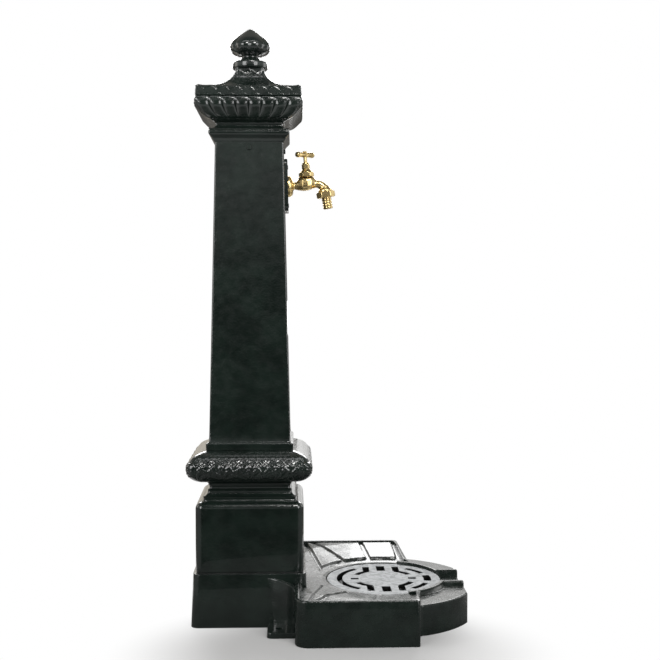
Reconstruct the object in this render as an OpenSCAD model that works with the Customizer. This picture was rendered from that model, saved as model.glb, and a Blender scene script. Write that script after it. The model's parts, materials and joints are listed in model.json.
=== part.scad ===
// Garden standpipe: a cast pillar with a brass tap over a catch basin and grate.
// Millimetres, +Z up, +X the way the tap points, origin on the pillar's axis at ground level.

/* [Base casting] */
// Height of the ground box under the pedestal
base_h = 97; // [88:1:120]
// Width of the ground box at the ground
box_w = 213; // [208:1:230]
// Width of the ground box at its top
box_top_w = 205; // [200:1:208]
// Radius of the ground box's upright corners
box_r = 20; // [12:1:26]
// Thickness of the base casting's walls and top plate
base_wall = 7.5; // [6:0.5:9]
// Distance from the pillar's axis to the back of the basin
basin_back = 82; // [70:1:90]
// Distance from the pillar's axis to the basin's front wall
basin_front = 297; // [290:1:304]
// Width of the basin
basin_w = 440; // [420:1:470]
// Height of the basin's rim
basin_h = 81; // [78:0.5:86]
// Radius of the basin's back corners
basin_r = 24; // [12:1:32]
// Width of the basin's rim
rim_w = 8; // [6:0.5:10]
// Radius of the hollow corners where the box meets the basin
cove_r = 58; // [40:1:62]
// Reach of the front lobe from the grate's centre
lobe_r = 172; // [165:1:185]
// Distance from the pillar's axis to the flat front
front_x = 400; // [392:1:406]
// Height of the ledge on the front lobe
ledge_h = 55; // [53:0.5:58]
// Height of the lip round the grate
lip_h = 64.5; // [63:0.5:67]
// Width of the lip round the grate
lip_w = 7.5; // [6:0.5:9]
// Height of the dished tray where it meets the grate
tray_h = 59.5; // [58:0.5:61]
// Rise of the dished tray from the grate to the rim
tray_rise = 15; // [12:0.5:15.5]
// Height of the raised pads above the tray
pad_h = 4.5; // [3.5:0.5:5]
// Inner radius of the ring of pads
pad_ring_r = 132; // [128:1:136]
// Width of the valleys between the pads
valley_w = 9; // [6:0.5:12]
// Inner width of the overflow channel
channel_w = 70; // [56:1:84]
// Height of the overflow channel's floor
channel_h = 51; // [50:0.5:53]
// Length of the anchor ears, along the pillar's front and back direction
ear_l = 49; // [46:1:54]
// Radius of the ears' outer corners
ear_r = 8; // [5:1:14]
// Distance from the pillar's axis to the ears' outer edges
ear_reach = 168; // [160:1:176]
// Thickness of the anchor ears
ear_t = 10; // [8:0.5:14]
// Diameter of the anchor holes
anchor_d = 12; // [9:0.5:14]
// Distance from the basin's back to the anchor holes
anchor_back = 28; // [26:1:30]
// Distance between the two anchor holes
anchor_gap = 284; // [276:1:290]

/* [Grate and drain] */
// Diameter of the grate
grate_d = 216; // [212:1:220]
// Thickness of the grate
grate_t = 9; // [8:0.5:10]
// Distance from the pillar's axis to the grate's centre
grate_x = 252; // [248:1:256]
// Gap round the grate in its seat
grate_gap = 2; // [1.5:0.5:3]
// Height of the grate's seat
seat_h = 50; // [49:0.5:51]
// Width of the ledge that carries the grate
seat_w = 9; // [7:0.5:11]
// Diameter of the sump's flat floor
sump_floor_d = 120; // [100:1:140]
// Height of the sump's floor
sump_h = 30; // [28:0.5:32]
// Bore of the drain spigot
drain_d = 42; // [36:1:46]
// Wall of the drain spigot
drain_wall = 4; // [3:0.5:5]
// Height of the drain spigot's mouth above the ground
drain_mouth_h = 3; // [2:0.5:5]

/* [Column casting] */
// Wall of the column
wall = 7; // [6:0.5:8]
// Width of the pedestal
pedestal_w = 197; // [190:1:199]
// Height of the pedestal's upright faces
pedestal_h = 119.5; // [105:0.5:150]
// Radius of the pedestal's upright corners
pedestal_r = 14; // [8:1:18]
// Height of the moulded shoulder over the pedestal
shoulder_h = 35; // [32:0.5:42]
// Width at the cove under the torus
cove_w = 148; // [144:1:152]
// Width of the leaf torus
torus_w = 228; // [214:1:236]
// Height of the leaf torus
torus_h = 65.5; // [60:0.5:76]
// Width of the plinth over the torus
plinth_w = 160; // [156:1:166]
// Height of the plinth
plinth_h = 15; // [11:0.5:22]
// Width of the shaft at its foot
shaft_w = 148.6; // [146:0.2:152]
// Width of the shaft at its top
shaft_top_w = 124.8; // [123:0.2:128]
// Height of the shaft
shaft_h = 547; // [500:1:640]
// Thickness of the gasket under the column
gasket_t = 1.5; // [1:0.1:3]
// Width of the gasket's band
gasket_w = 36; // [32:1:44]
// Radius of the bolt bosses in the column's foot
boss_r = 13; // [12:0.5:15]
// Height of the bolt bosses
boss_h = 26; // [24:1:34]
// Thread diameter of the column bolts
bolt_d = 10; // [8:0.5:10]
// Depth of the column bolts in the bosses
bolt_grip = 18; // [14:1:20]

/* [Capital and finial] */
// Height of the skirt that plugs into the shaft
skirt_h = 30; // [24:1:40]
// Wall of the skirt
skirt_wall = 6.5; // [5:0.5:7]
// Gap round the skirt in the shaft
skirt_gap = 0.3; // [0.2:0.1:0.5]
// Width of the band over the shaft
band_w = 147; // [142:1:152]
// Height of the band with its underside
band_h = 24; // [21:0.5:28]
// Width at the neck over the band
neck_w = 122.4; // [120:0.4:126]
// Height of the neck
neck_h = 17; // [14:0.5:22]
// Width of the ovolo
ovolo_w = 196.6; // [190:0.2:204]
// Height of the ovolo
ovolo_h = 38; // [34:0.5:44]
// Width of the fascia under the roof
fascia_w = 188; // [185:1:190]
// Height of the fascia
fascia_h = 19; // [15:0.5:24]
// Width of the roof's top under the finial
roof_top_w = 50; // [46:1:54]
// Height of the roof
roof_h = 44.5; // [42:0.5:52]
// Diameter of the finial's ring
ring_d = 67; // [60:1:72]
// Height of the finial's ring
ring_h = 14; // [12:0.5:16]
// Height of the neck between ring and bulb
finial_neck_h = 10.5; // [8:0.5:13]
// Diameter of the finial's bulb
bulb_d = 78; // [68:1:84]
// Height of the finial's bulb
bulb_h = 52; // [48:0.5:60]
// Thread diameter of the finial stud
stud_d = 10; // [8:0.5:10]
// Thread diameter of the capital screws
cap_screw_d = 6; // [5:0.5:6]
// Distance of the capital screws below the shaft's top
cap_screw_drop = 9; // [8:0.5:12]

/* [Tap plate and supply] */
// Distance of the tap's axis below the shaft's top
tap_drop = 74; // [73:1:117]
// Width of the tap plate
plate_w = 76; // [68:1:84]
// Height of the tap plate
plate_l = 98; // [92:1:100]
// Thickness of the tap plate
plate_t = 6.3; // [5:0.1:8]
// Radius of the tap plate's corners
plate_r = 12; // [6:1:16]
// Thread diameter of the tap plate's screws
plate_screw_d = 5; // [4:0.5:6]
// Distance from each tap plate screw to the plate's end
plate_screw_in = 13; // [12:0.5:14]
// Outer diameter of the inlet thread
shank_d = 20.8; // [20:0.2:21.6]
// Length of the inlet thread behind the shaft's face
shank_l = 34; // [32:1:38]
// Thickness of the lock nut inside the wall
locknut_t = 6; // [5:0.5:7]
// Thickness of the lock washer inside the wall
lockwasher_t = 2; // [1:0.5:2.5]
// Distance from the shaft's face to the riser's axis
riser_back = 44; // [42:1:50]
// Outer diameter of the riser pipe
riser_d = 21.4; // [20.8:0.2:22]
// Wall of the riser pipe
riser_wall = 2.6; // [2:0.2:3.2]
// Wall of the elbow and the inlet coupling
socket_wall = 3.4; // [3:0.2:4]
// Length of the inlet coupling
coupling_l = 38; // [34:1:46]
// Height of the inlet coupling's mouth above the ground
inlet_h = 12; // [8:1:18]

/* [Tap] */
// Diameter of the escutcheon
escutcheon_d = 40; // [36:1:44]
// Height of the escutcheon's dome
escutcheon_h = 9.5; // [8:0.5:11]
// Distance from the shaft's face to the spindle's axis
spindle_out = 42.5; // [40:0.5:44]
// Lean of the headwork towards the shaft
headwork_lean = 3; // [0:0.5:5]
// Outer radius of the tap's neck
neck_r = 7.6; // [7.2:0.1:8.4]
// Radius of the tap's waterway
waterway_r = 5; // [4:0.1:5.4]
// Outer radius of the valve chamber
chamber_r = 12; // [11.6:0.1:13]
// Inner radius of the valve chamber
chamber_bore_r = 9; // [8.8:0.1:9.2]
// Height of the valve seat over the inlet's axis
valve_seat_h = 6; // [5.8:0.1:7]
// Height of the chamber's top over the inlet's axis
chamber_top = 17; // [16.6:0.1:18]
// Width across the flats of the bonnet
bonnet_af = 25; // [24:0.5:28]
// Height of the bonnet's hexagon
bonnet_h = 10; // [9:0.5:12]
// Width across the flats of the gland nut
gland_af = 13; // [12.6:0.1:15]
// Height of the gland nut
gland_h = 12; // [11:0.5:14]
// Thread diameter of the spindle
spindle_d = 10; // [9:0.2:10.2]
// Diameter of the spindle's stem
stem_d = 6.6; // [6:0.1:7]
// Lift of the valve between shut and fully open
valve_lift = 5; // [3:0.5:5]
// Clear height between the gland nut and the handle
handle_clear = 9.5; // [8:0.5:13]
// Length of the tee handle's bar
bar_l = 47; // [42:1:56]
// Diameter of the bar's ends
bar_end_d = 11.4; // [10:0.2:13]
// Diameter of the bar's waist
bar_d = 8; // [7:0.2:9]
// Turn of the handle at rest
handle_turn = 45; // [0:5:90]
// Outer radius of the spout
spout_r = 7.2; // [6.8:0.1:7.8]
// Reach of the spout's straight part past the spindle
spout_run = 18.5; // [17:0.5:22]
// Height of the spout over the inlet's axis
spout_rise = 5.5; // [5.2:0.1:6.2]
// Radius of the spout's bend
spout_bend = 15; // [14:0.5:17]
// Forward tilt of the outlet
outlet_tilt = 8.5; // [4:0.5:12]
// Diameter of the outlet's thread
outlet_d = 26.4; // [25.6:0.1:27]
// Length of the outlet's thread
outlet_l = 8.5; // [8:0.5:10]
// Width across the flats of the union nut
union_af = 31; // [30.6:0.2:33]
// Height of the union nut
union_h = 11.5; // [11:0.5:13]
// Diameter of the hose tail's body
tail_d = 16.4; // [15:0.2:17]
// Bore of the hose tail
tail_bore_d = 11; // [9:0.5:12]
// Length of the hose tail below the nut
tail_l = 21.5; // [18:0.5:26]
// Height of the hose tail's rings
ring_rise = 0.9; // [0.6:0.1:1.2]

/* [Hidden] */
$fn = 64;
// Radial gap of a thread or a running fit
fit = 0.08;
// Overshoot of a cut past the face that it opens
cut = 1;
// Hexagon and washer sizes for each unit of thread diameter
hex_k = 1.7;
head_k = 0.64;
washer_k = 2;
washer_t = 2;
hex_round = 1 / cos(30);

box_half = box_w / 2;
box_top_half = box_top_w / 2;
box_cave_half = box_top_half - base_wall;
basin_half = basin_w / 2;
tray_x0 = basin_back + rim_w;
tray_x1 = basin_front - rim_w;
tray_half = basin_half - rim_w;
recess_r = grate_d / 2 + grate_gap;
lip_r = recess_r + lip_w;
sump_r = recess_r - grate_gap - seat_w;
drum_r = lip_r;
drum_h = sump_h - base_wall;
basin_roof = tray_h - base_wall;
ledge_roof = ledge_h - base_wall;
channel_roof = channel_h - base_wall;
channel_half = channel_w / 2;
drain_r = drain_d / 2;
spigot_r = drain_r + drain_wall;
tray_far = lobe_r + basin_half;
tray_flat = 5;
tray_knee = tray_half - tray_flat;
valley_turns = [32.5, 8.5];
apron_turn = 28;
sky = base_h + basin_h;
anchor_r = anchor_d / 2;
anchor_y = anchor_gap / 2;
ear_x1 = basin_back + cut;
ear_x0 = basin_back - ear_l;
anchor_x = basin_back - anchor_back;

pedestal_half = pedestal_w / 2;
cove_half = cove_w / 2;
torus_half = torus_w / 2;
plinth_half = plinth_w / 2;
shaft_half = shaft_w / 2;
shaft_top_half = shaft_top_w / 2;
z_column = base_h + gasket_t;
z_shoulder = z_column + pedestal_h;
z_torus = z_shoulder + shoulder_h;
z_plinth = z_torus + torus_h;
z_shaft = z_plinth + plinth_h;
z_capital = z_shaft + shaft_h;
torus_flare = torus_h * 0.14;
torus_belly = torus_h * 0.6;
taper = atan((shaft_half - shaft_top_half) / shaft_h);
boss_at = pedestal_half - wall - boss_r + cut;
bolt_r = bolt_d / 2;
bolt_hole_r = bolt_r + 0.5;
bolt_seat = base_h - base_wall - washer_t;
riser_hole_r = riser_d / 2 + 8;

skirt_half = shaft_top_half - wall - skirt_gap;
skirt_cave_half = skirt_half - skirt_wall;
band_half = band_w / 2;
neck_half = neck_w / 2;
ovolo_half = ovolo_w / 2;
fascia_half = fascia_w / 2;
roof_top_half = roof_top_w / 2;
z_neck = z_capital + band_h;
z_ovolo = z_neck + neck_h;
z_fascia = z_ovolo + ovolo_h;
z_roof = z_fascia + fascia_h;
z_finial = z_roof + roof_h;
roof_plate = 10;
stud_r = stud_d / 2;
stud_grip = 24;
stud_tail = 3;
nut_t = 0.8 * stud_d;
z_stud_nut = z_finial - roof_plate - washer_t - nut_t;
cap_screw_r = cap_screw_d / 2;
z_cap_screw = z_capital - cap_screw_drop;
cap_head_r = 0.7 * cap_screw_d;
cap_head_t = 0.5 * cap_screw_d;

ring_r = ring_d / 2;
ring_round = 4;
bulb_r = bulb_d / 2;
z_finial_neck = z_finial + ring_h;
z_bulb = z_finial_neck + finial_neck_h;

z_tap = z_capital - tap_drop;
face_x = shaft_top_half + (shaft_half - shaft_top_half) * tap_drop / shaft_h;
wall_in = wall * cos(taper);
shank_r = shank_d / 2;
socket_r = shank_r + fit + socket_wall;
riser_r = riser_d / 2;
riser_bore_r = riser_r - riser_wall;
riser_x = face_x - riser_back;
elbow_z = z_tap - riser_back * sin(taper);
elbow_leg = socket_r + 12;
pipe_in = 14;
riser_top = elbow_z - elbow_leg + pipe_in;
coupling_r = riser_r + fit + socket_wall;
riser_foot = inlet_h + coupling_l - pipe_in;
inlet_r = shank_r - 1.1;
inlet_depth = coupling_l - pipe_in - 4;

bonnet_gasket_t = 0.8;
bonnet_z = chamber_top + bonnet_gasket_t;
bonnet_spigot = 5;
collar_h = 4.5;
collar_r = bonnet_af * 0.3;
gland_z = bonnet_z + bonnet_h + collar_h;
gland_thread_r = spindle_d / 2 + 0.5;
gland_thread_h = 6;
packing_t = 2;
spindle_r = spindle_d / 2;
stem_r = stem_d / 2;
jumper_r = chamber_bore_r - 1.5;
jumper_t = 2.5;
tap_washer_t = 3;
washer_top = valve_seat_h + tap_washer_t;
jumper_top = washer_top + jumper_t;
spindle_foot = jumper_top + 0.3;
thread_top = gland_z - valve_lift - 0.5;
jumper_stem_r = 2;
jumper_stem_h = 7;
pin_r = 1.5;
washer_nut_t = 2;
handle_z = gland_z + gland_h + handle_clear;
hub_h = 10;
hub_r = 5.2;
hub_bore_r = stem_r - 0.4;
screw_head_h = 1.6;

spout_end_x = spindle_out + spout_run + spout_bend * cos(outlet_tilt);
spout_end_z = spout_rise - spout_bend + spout_bend * sin(outlet_tilt);
outlet_x = spout_end_x + outlet_l * sin(outlet_tilt);
outlet_z = spout_end_z - outlet_l * cos(outlet_tilt);
outlet_r = outlet_d / 2;
shoulder_t = 2;
union_washer_t = 2;
tail_flange_t = 2.5;
tail_flange_r = outlet_r - 0.3;
union_lip_z = union_washer_t + tail_flange_t + 0.1;
union_lip = 2;
union_foot = union_lip_z + union_lip;
tail_r = tail_d / 2;
tail_neck_r = tail_r + 0.5 * ring_rise;
union_lip_r = tail_r + ring_rise + 0.4;
tail_bore_r = tail_bore_d / 2;
tail_rings = 4;
ring_pitch = tail_l / (tail_rings + 0.5);

cast_green = [0.09, 0.14, 0.12];
brass = [0.83, 0.65, 0.28];
iron_grey = [0.62, 0.64, 0.65];
steel = [0.7, 0.7, 0.72];
rubber = [0.12, 0.12, 0.12];

// Points of a superellipse quarter from angle a0 to a1 about (cx, cz).
function curve(cx, cz, rx, rz, p, a0, a1, n) = [
    for (i = [0 : n])
        let (a = a0 + (a1 - a0) * i / n)
        [cx + rx * sign(cos(a)) * pow(abs(cos(a)), 2 / p),
         cz + rz * sign(sin(a)) * pow(abs(sin(a)), 2 / p)]
];

// A half outline closed by its mirror image.
function both_sides(half) = concat(half, [
    for (i = [len(half) - 1 : -1 : 0]) [-half[i][0], half[i][1]]
]);

// A square moulding: one half outline run along all four sides and mitred.
module mitred(half) {
    run = 4 * max([for (p = half) p[0]]);
    intersection() {
        rotate([90, 0, 0])
            linear_extrude(height = run, center = true)
                polygon(both_sides(half));
        rotate([90, 0, 90])
            linear_extrude(height = run, center = true)
                polygon(both_sides(half));
    }
}

module rounded_square(half_x, half_y, r) {
    square([2 * half_x, 2 * (half_y - r)], center = true);
    square([2 * (half_x - r), 2 * half_y], center = true);
    for (x = [-1, 1], y = [-1, 1])
        translate([x * (half_x - r), y * (half_y - r)])
            circle(r = r);
}

module ring(r_out, r_in, h) {
    difference() {
        cylinder(r = r_out, h = h);
        translate([0, 0, -cut])
            cylinder(r = r_in, h = h + 2 * cut);
    }
}

module hexagon(af, h) {
    cylinder(r = af / 2 * hex_round, h = h, $fn = 6);
}

// Four places at the corners of a square.
module at_corners(d) {
    for (x = [-d, d], y = [-d, d])
        translate([x, y, 0])
            children();
}

// Base casting

// The basin's plan, drawn in by a wall's thickness for the hollow.
module basin_plan(inset) {
    r = basin_r - inset;
    x0 = basin_back + inset;
    x1 = basin_front - inset;
    half = basin_half - inset;
    translate([x0 + r, -half])
        square([x1 - x0 - r, 2 * half]);
    translate([x0, -half + r])
        square([r + cut, 2 * (half - r)]);
    for (y = [-1, 1])
        translate([x0 + r, y * (half - r)])
            circle(r = r);
}

module lobe_plan(inset) {
    intersection() {
        translate([grate_x, 0])
            circle(r = lobe_r - inset);
        translate([grate_x, -lobe_r])
            square([front_x - inset - grate_x, 2 * lobe_r]);
    }
}

module cove_plan() {
    difference() {
        translate([basin_back - cove_r, box_top_half - base_wall])
            square([cove_r + base_wall, cove_r + base_wall]);
        translate([basin_back - cove_r + cut, box_top_half + cove_r])
            circle(r = cove_r);
        translate([basin_back - cove_r - cut, box_top_half + cove_r])
            square([cove_r + base_wall + 2 * cut, cove_r]);
    }
}

module ear_plan() {
    difference() {
        union() {
            translate([ear_x0 + ear_r, 0])
                square([ear_x1 - ear_x0 - ear_r, ear_reach]);
            translate([ear_x0, 0])
                square([ear_r + cut, ear_reach - ear_r]);
            translate([ear_x0 + ear_r, ear_reach - ear_r])
                circle(r = ear_r);
        }
        translate([anchor_x, anchor_y])
            circle(r = anchor_r);
        translate([-box_half, 0])
            square([2 * box_half, box_top_half]);
    }
}

module tray_plan() {
    difference() {
        translate([tray_x0, -tray_half])
            square([tray_x1 - tray_x0, 2 * tray_half]);
        rounded_square(box_top_half, box_top_half, box_r);
    }
}

module pad_plan() {
    apron_out = tray_x0 + 2 * rim_w;
    apron_in = grate_x - pad_ring_r * cos(apron_turn);
    apron_half = pad_ring_r * sin(apron_turn);
    difference() {
        tray_plan();
        translate([grate_x, 0])
            for (a = valley_turns, side = [0, 180])
                rotate([0, 0, side == 0 ? a : side - a])
                    translate([-valley_w / 2, 0])
                        square([valley_w, tray_far]);
        polygon([
            [0, -tray_half - cut], [apron_out, -tray_half - cut],
            [apron_in, -apron_half], [apron_in, apron_half],
            [apron_out, tray_half + cut], [0, tray_half + cut]
        ]);
    }
}

// Everything above the dished tray, as a turned space about the grate.
module above_tray(lift) {
    low = tray_h + lift;
    high = low + tray_rise;
    translate([grate_x, 0, 0])
        rotate_extrude()
            polygon([
                [0, low], [lip_r, low], [tray_knee, high], [tray_far, high],
                [tray_far, sky], [0, sky]
            ]);
}

// Everything above the basin's front rim, which dips to the lip round the grate.
module front_dip() {
    half = sqrt(pow(lip_r, 2) - pow(basin_front - grate_x, 2));
    translate([tray_x1 - cut, 0, 0])
        rotate([90, 0, 90])
            linear_extrude(height = rim_w + 2 * cut)
                polygon(both_sides([[half, lip_h], [tray_half, basin_h], [tray_half, sky]]));
}

// A hollow corner whose top falls from the box to the basin.
module cove() {
    from = basin_back - cove_r;
    to = basin_back + base_wall;
    intersection() {
        linear_extrude(height = base_h)
            cove_plan();
        translate([0, box_half + cove_r + base_wall, 0])
            rotate([90, 0, 0])
                linear_extrude(height = box_half)
                    polygon([
                        [from - cut, 0], [to + cut, 0], [to + cut, basin_h - rim_w / 2],
                        [basin_back, basin_h - rim_w / 2], [from, base_h - rim_w / 2],
                        [from - cut, base_h - rim_w / 2]
                    ]);
    }
}

module base_outside() {
    intersection() {
        mitred([[box_half, 0], [box_top_half, base_h]]);
        linear_extrude(height = base_h)
            rounded_square(box_half, box_half, box_r);
    }
    difference() {
        linear_extrude(height = basin_h)
            basin_plan(0);
        intersection() {
            above_tray(0);
            translate([0, 0, tray_h - cut])
                linear_extrude(height = sky)
                    tray_plan();
        }
        front_dip();
    }
    difference() {
        intersection() {
            translate([0, 0, tray_h - base_wall / 2])
                linear_extrude(height = basin_h - tray_h + base_wall / 2)
                    pad_plan();
            translate([grate_x, 0, 0])
                ring(tray_far, pad_ring_r, sky);
        }
        above_tray(pad_h);
    }
    linear_extrude(height = ledge_h)
        lobe_plan(0);
    translate([grate_x, 0, drum_h])
        cylinder(r = lip_r, h = tray_h - drum_h);
    intersection() {
        translate([grate_x, 0, drum_h])
            cylinder(r = lip_r, h = lip_h - drum_h);
        translate([tray_x1, -lip_r - cut, drum_h - cut])
            cube([2 * lip_r, 2 * lip_r + 2 * cut, lip_h]);
    }
    translate([grate_x, -channel_half - lip_w, channel_roof])
        cube([front_x - grate_x, channel_w + 2 * lip_w, lip_h - channel_roof]);
    for (side = [0, 1])
        mirror([0, side, 0]) {
            cove();
            linear_extrude(height = ear_t)
                ear_plan();
        }
}

module base_hollow() {
    translate([0, 0, -cut])
        linear_extrude(height = base_h - base_wall + cut)
            rounded_square(box_cave_half, box_cave_half, box_r - base_wall);
    difference() {
        union() {
            translate([0, 0, -cut])
                linear_extrude(height = basin_roof + cut)
                    difference() {
                        basin_plan(base_wall);
                        square([2 * box_half, 2 * box_half], center = true);
                    }
            translate([0, 0, -cut])
                linear_extrude(height = ledge_roof + cut)
                    lobe_plan(base_wall);
        }
        translate([grate_x, 0, drum_h])
            cylinder(r = drum_r, h = sky);
        translate([grate_x, -channel_half - lip_w, channel_roof])
            cube([front_x - grate_x, channel_w + 2 * lip_w, sky]);
    }
    translate([riser_x, 0, 0])
        cylinder(r = riser_hole_r, h = sky);
    at_corners(boss_at)
        cylinder(r = bolt_hole_r, h = sky);
}

module base_casting() {
    color(cast_green)
        difference() {
            union() {
                difference() {
                    base_outside();
                    base_hollow();
                }
                translate([grate_x, 0, drain_mouth_h])
                    cylinder(r = spigot_r, h = sump_h - drain_mouth_h);
            }
            translate([grate_x, 0, 0])
                rotate_extrude()
                    polygon([
                        [0, 0], [drain_r, 0], [drain_r, sump_h], [sump_floor_d / 2, sump_h],
                        [sump_r, seat_h], [recess_r, seat_h], [recess_r, sky], [0, sky]
                    ]);
            translate([grate_x, -channel_half, channel_h])
                cube([front_x - grate_x + cut, channel_w, sky]);
        }
}

// Grate

module arc_slot(r, w, a0, a1, h) {
    rotate([0, 0, a0])
        rotate_extrude(angle = a1 - a0)
            translate([r - w / 2, -cut])
                square([w, h + 2 * cut]);
}

module drain_grate() {
    r = grate_d / 2;
    color(iron_grey)
        translate([grate_x, 0, seat_h])
            difference() {
                cylinder(r = r, h = grate_t);
                for (side = [0, 180])
                    rotate([0, 0, side]) {
                        translate([-0.076 * r, 0.5 * r, -cut])
                            cube([0.152 * r, 0.32 * r, grate_t + 2 * cut]);
                        translate([0.44 * r, -0.05 * r, -cut])
                            cube([0.14 * r, 0.1 * r, grate_t + 2 * cut]);
                        for (flip = [0, 1])
                            mirror([flip, 0, 0]) {
                                translate([0.21 * r, 0.48 * r, -cut])
                                    cube([0.12 * r, 0.29 * r, grate_t + 2 * cut]);
                                arc_slot(0.53 * r, 0.105 * r, 28, 64, grate_t);
                            }
                    }
                arc_slot(0.78 * r, 0.1 * r, 126, 234, grate_t);
                arc_slot(0.78 * r, 0.13 * r, -13, 13, grate_t);
                arc_slot(0.78 * r, 0.1 * r, 24, 54, grate_t);
                arc_slot(0.78 * r, 0.1 * r, -54, -24, grate_t);
            }
}

// Column and its fixings

module base_gasket() {
    outer = pedestal_half - 2;
    color(rubber)
        translate([0, 0, base_h])
            linear_extrude(height = gasket_t)
                difference() {
                    rounded_square(outer, outer, pedestal_r);
                    square(2 * (outer - gasket_w), center = true);
                    for (x = [-boss_at, boss_at], y = [-boss_at, boss_at])
                        translate([x, y])
                            circle(r = bolt_hole_r);
                }
}

module column_bolts() {
    color(steel)
        at_corners(boss_at) {
            translate([0, 0, bolt_seat - head_k * bolt_d])
                hexagon(hex_k * bolt_d, head_k * bolt_d);
            translate([0, 0, bolt_seat - head_k * bolt_d / 2])
                cylinder(r = bolt_r, h = z_column + bolt_grip - bolt_seat + head_k * bolt_d / 2);
        }
}

module column_washers() {
    color(steel)
        at_corners(boss_at)
            translate([0, 0, bolt_seat])
                ring(washer_k * bolt_r, bolt_r + 3 * fit, washer_t);
}

// The pedestal's moulded shoulder, from its upright face to the cove.
function shoulder_points() =
    let (s = shoulder_h / 35, round = 9 * s, step = (pedestal_half - cove_half) / 21.5)
    concat(
        curve(pedestal_half - round, z_shoulder, round, round, 2, 0, 90, 6),
        [
            [cove_half + 9 * step, z_shoulder + 11 * s],
            [cove_half + 9 * step, z_shoulder + 16 * s]
        ],
        curve(cove_half + 10 * step, z_shoulder + 26.5 * s, 7.5 * step, 9 * s, 2, 270, 180, 5),
        [
            [cove_half + 2.5 * step, z_shoulder + 29 * s],
            [cove_half, z_shoulder + 30 * s],
            [cove_half, z_torus]
        ]
    );

// The leaf torus as a plain moulding: a full belly with a straighter upper side.
function torus_points() = concat(
    curve(plinth_half, z_torus + torus_belly, torus_half - plinth_half, torus_belly - torus_flare,
        2, -90, 0, 9),
    [for (i = [1 : 8]) curve(plinth_half, z_torus + torus_belly, torus_half - plinth_half,
        torus_h - torus_belly, 1.4, 0, 90, 8)[i]]
);

function column_points() = concat(
    [[pedestal_half, z_column]],
    shoulder_points(),
    torus_points(),
    [
        [plinth_half, z_shaft - 2],
        [shaft_half, z_shaft],
        [shaft_top_half, z_capital]
    ]
);

function column_cave_points() = [
    [pedestal_half - wall, z_column - cut],
    [pedestal_half - wall, z_shoulder - wall],
    [cove_half - wall, z_torus - wall],
    [cove_half - wall, z_torus],
    [shaft_half - wall, z_shaft],
    [shaft_top_half - wall, z_capital],
    [shaft_top_half - wall, z_capital + cut]
];

module column_casting() {
    color(cast_green)
        difference() {
            union() {
                difference() {
                    intersection() {
                        mitred(column_points());
                        union() {
                            translate([0, 0, z_column])
                                linear_extrude(height = pedestal_h + shoulder_h / 3)
                                    rounded_square(pedestal_half, pedestal_half, pedestal_r);
                            translate([-torus_half, -torus_half, z_shoulder + shoulder_h / 3])
                                cube([torus_w, torus_w, z_capital - z_shoulder]);
                        }
                    }
                    mitred(column_cave_points());
                }
                intersection() {
                    at_corners(boss_at)
                        translate([0, 0, z_column])
                            cylinder(r = boss_r, h = boss_h);
                    translate([0, 0, z_column])
                        linear_extrude(height = boss_h)
                            rounded_square(pedestal_half, pedestal_half, pedestal_r);
                }
            }
            at_corners(boss_at)
                translate([0, 0, z_column - cut])
                    cylinder(r = bolt_r + fit, h = bolt_grip + 3);
            at_tap()
                translate([-2 * wall, 0, 0])
                    rotate([0, 90, 0])
                        cylinder(r = shank_r + 0.6, h = 3 * wall);
            at_plate_screws()
                translate([-2 * wall, 0, 0])
                    rotate([0, 90, 0])
                        cylinder(r = plate_screw_d / 2 + fit, h = 3 * wall);
            at_faces()
                translate([skirt_half - wall, 0, 0])
                    rotate([0, 90, 0])
                        cylinder(r = cap_screw_r + 0.2, h = 4 * wall);
        }
}

// Capital and finial

// The four faces of the shaft at the height of the capital screws.
module at_faces() {
    for (a = [0 : 90 : 270])
        rotate([0, 0, a])
            translate([0, 0, z_cap_screw])
                children();
}

function capital_points() = concat(
    [
        [skirt_half, z_capital - skirt_h],
        [skirt_half, z_capital],
        [shaft_top_half, z_capital],
        [shaft_top_half + 0.2 * (band_half - shaft_top_half), z_capital + 0.12 * band_h],
        [shaft_top_half + 0.4 * (band_half - shaft_top_half), z_capital + 0.3 * band_h],
        [band_half - 1, z_capital + 0.56 * band_h],
        [band_half, z_capital + 0.64 * band_h],
        [band_half, z_capital + 0.82 * band_h],
        [band_half - 2, z_capital + 0.9 * band_h]
    ],
    curve(neck_half + 12, z_neck + 0.45 * neck_h, 12, 0.45 * neck_h, 2, 270, 180, 4),
    [
        [neck_half, z_neck + 0.6 * neck_h],
        [neck_half + 4, z_ovolo - 0.18 * neck_h],
        [neck_half + 10, z_ovolo - 0.1 * neck_h]
    ],
    curve(neck_half + 12, z_ovolo + 0.78 * ovolo_h, ovolo_half - neck_half - 12, 0.78 * ovolo_h,
        1.5, -90, 0, 10),
    [
        [ovolo_half - 0.4, z_fascia - 0.1 * ovolo_h],
        [fascia_half + 2, z_fascia],
        [fascia_half, z_roof - 1]
    ],
    curve(fascia_half, z_finial, fascia_half - roof_top_half, roof_h, 2, 270, 180, 12),
    [[0, z_finial]]
);

function capital_cave_points() = concat(
    [
        [skirt_cave_half, z_capital - skirt_h - cut],
        [skirt_cave_half, z_ovolo - 2],
        [neck_half, z_ovolo + 0.12 * ovolo_h],
        [ovolo_half - 20, z_ovolo + 0.5 * ovolo_h],
        [ovolo_half - 10, z_ovolo + 0.8 * ovolo_h],
        [fascia_half - wall, z_roof - wall]
    ],
    curve(fascia_half, z_finial, fascia_half - roof_top_half + wall, roof_h + wall, 2, 255, 195, 5),
    [
        [roof_top_half - wall, z_finial - roof_plate],
        [0, z_finial - roof_plate]
    ]
);

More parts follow.
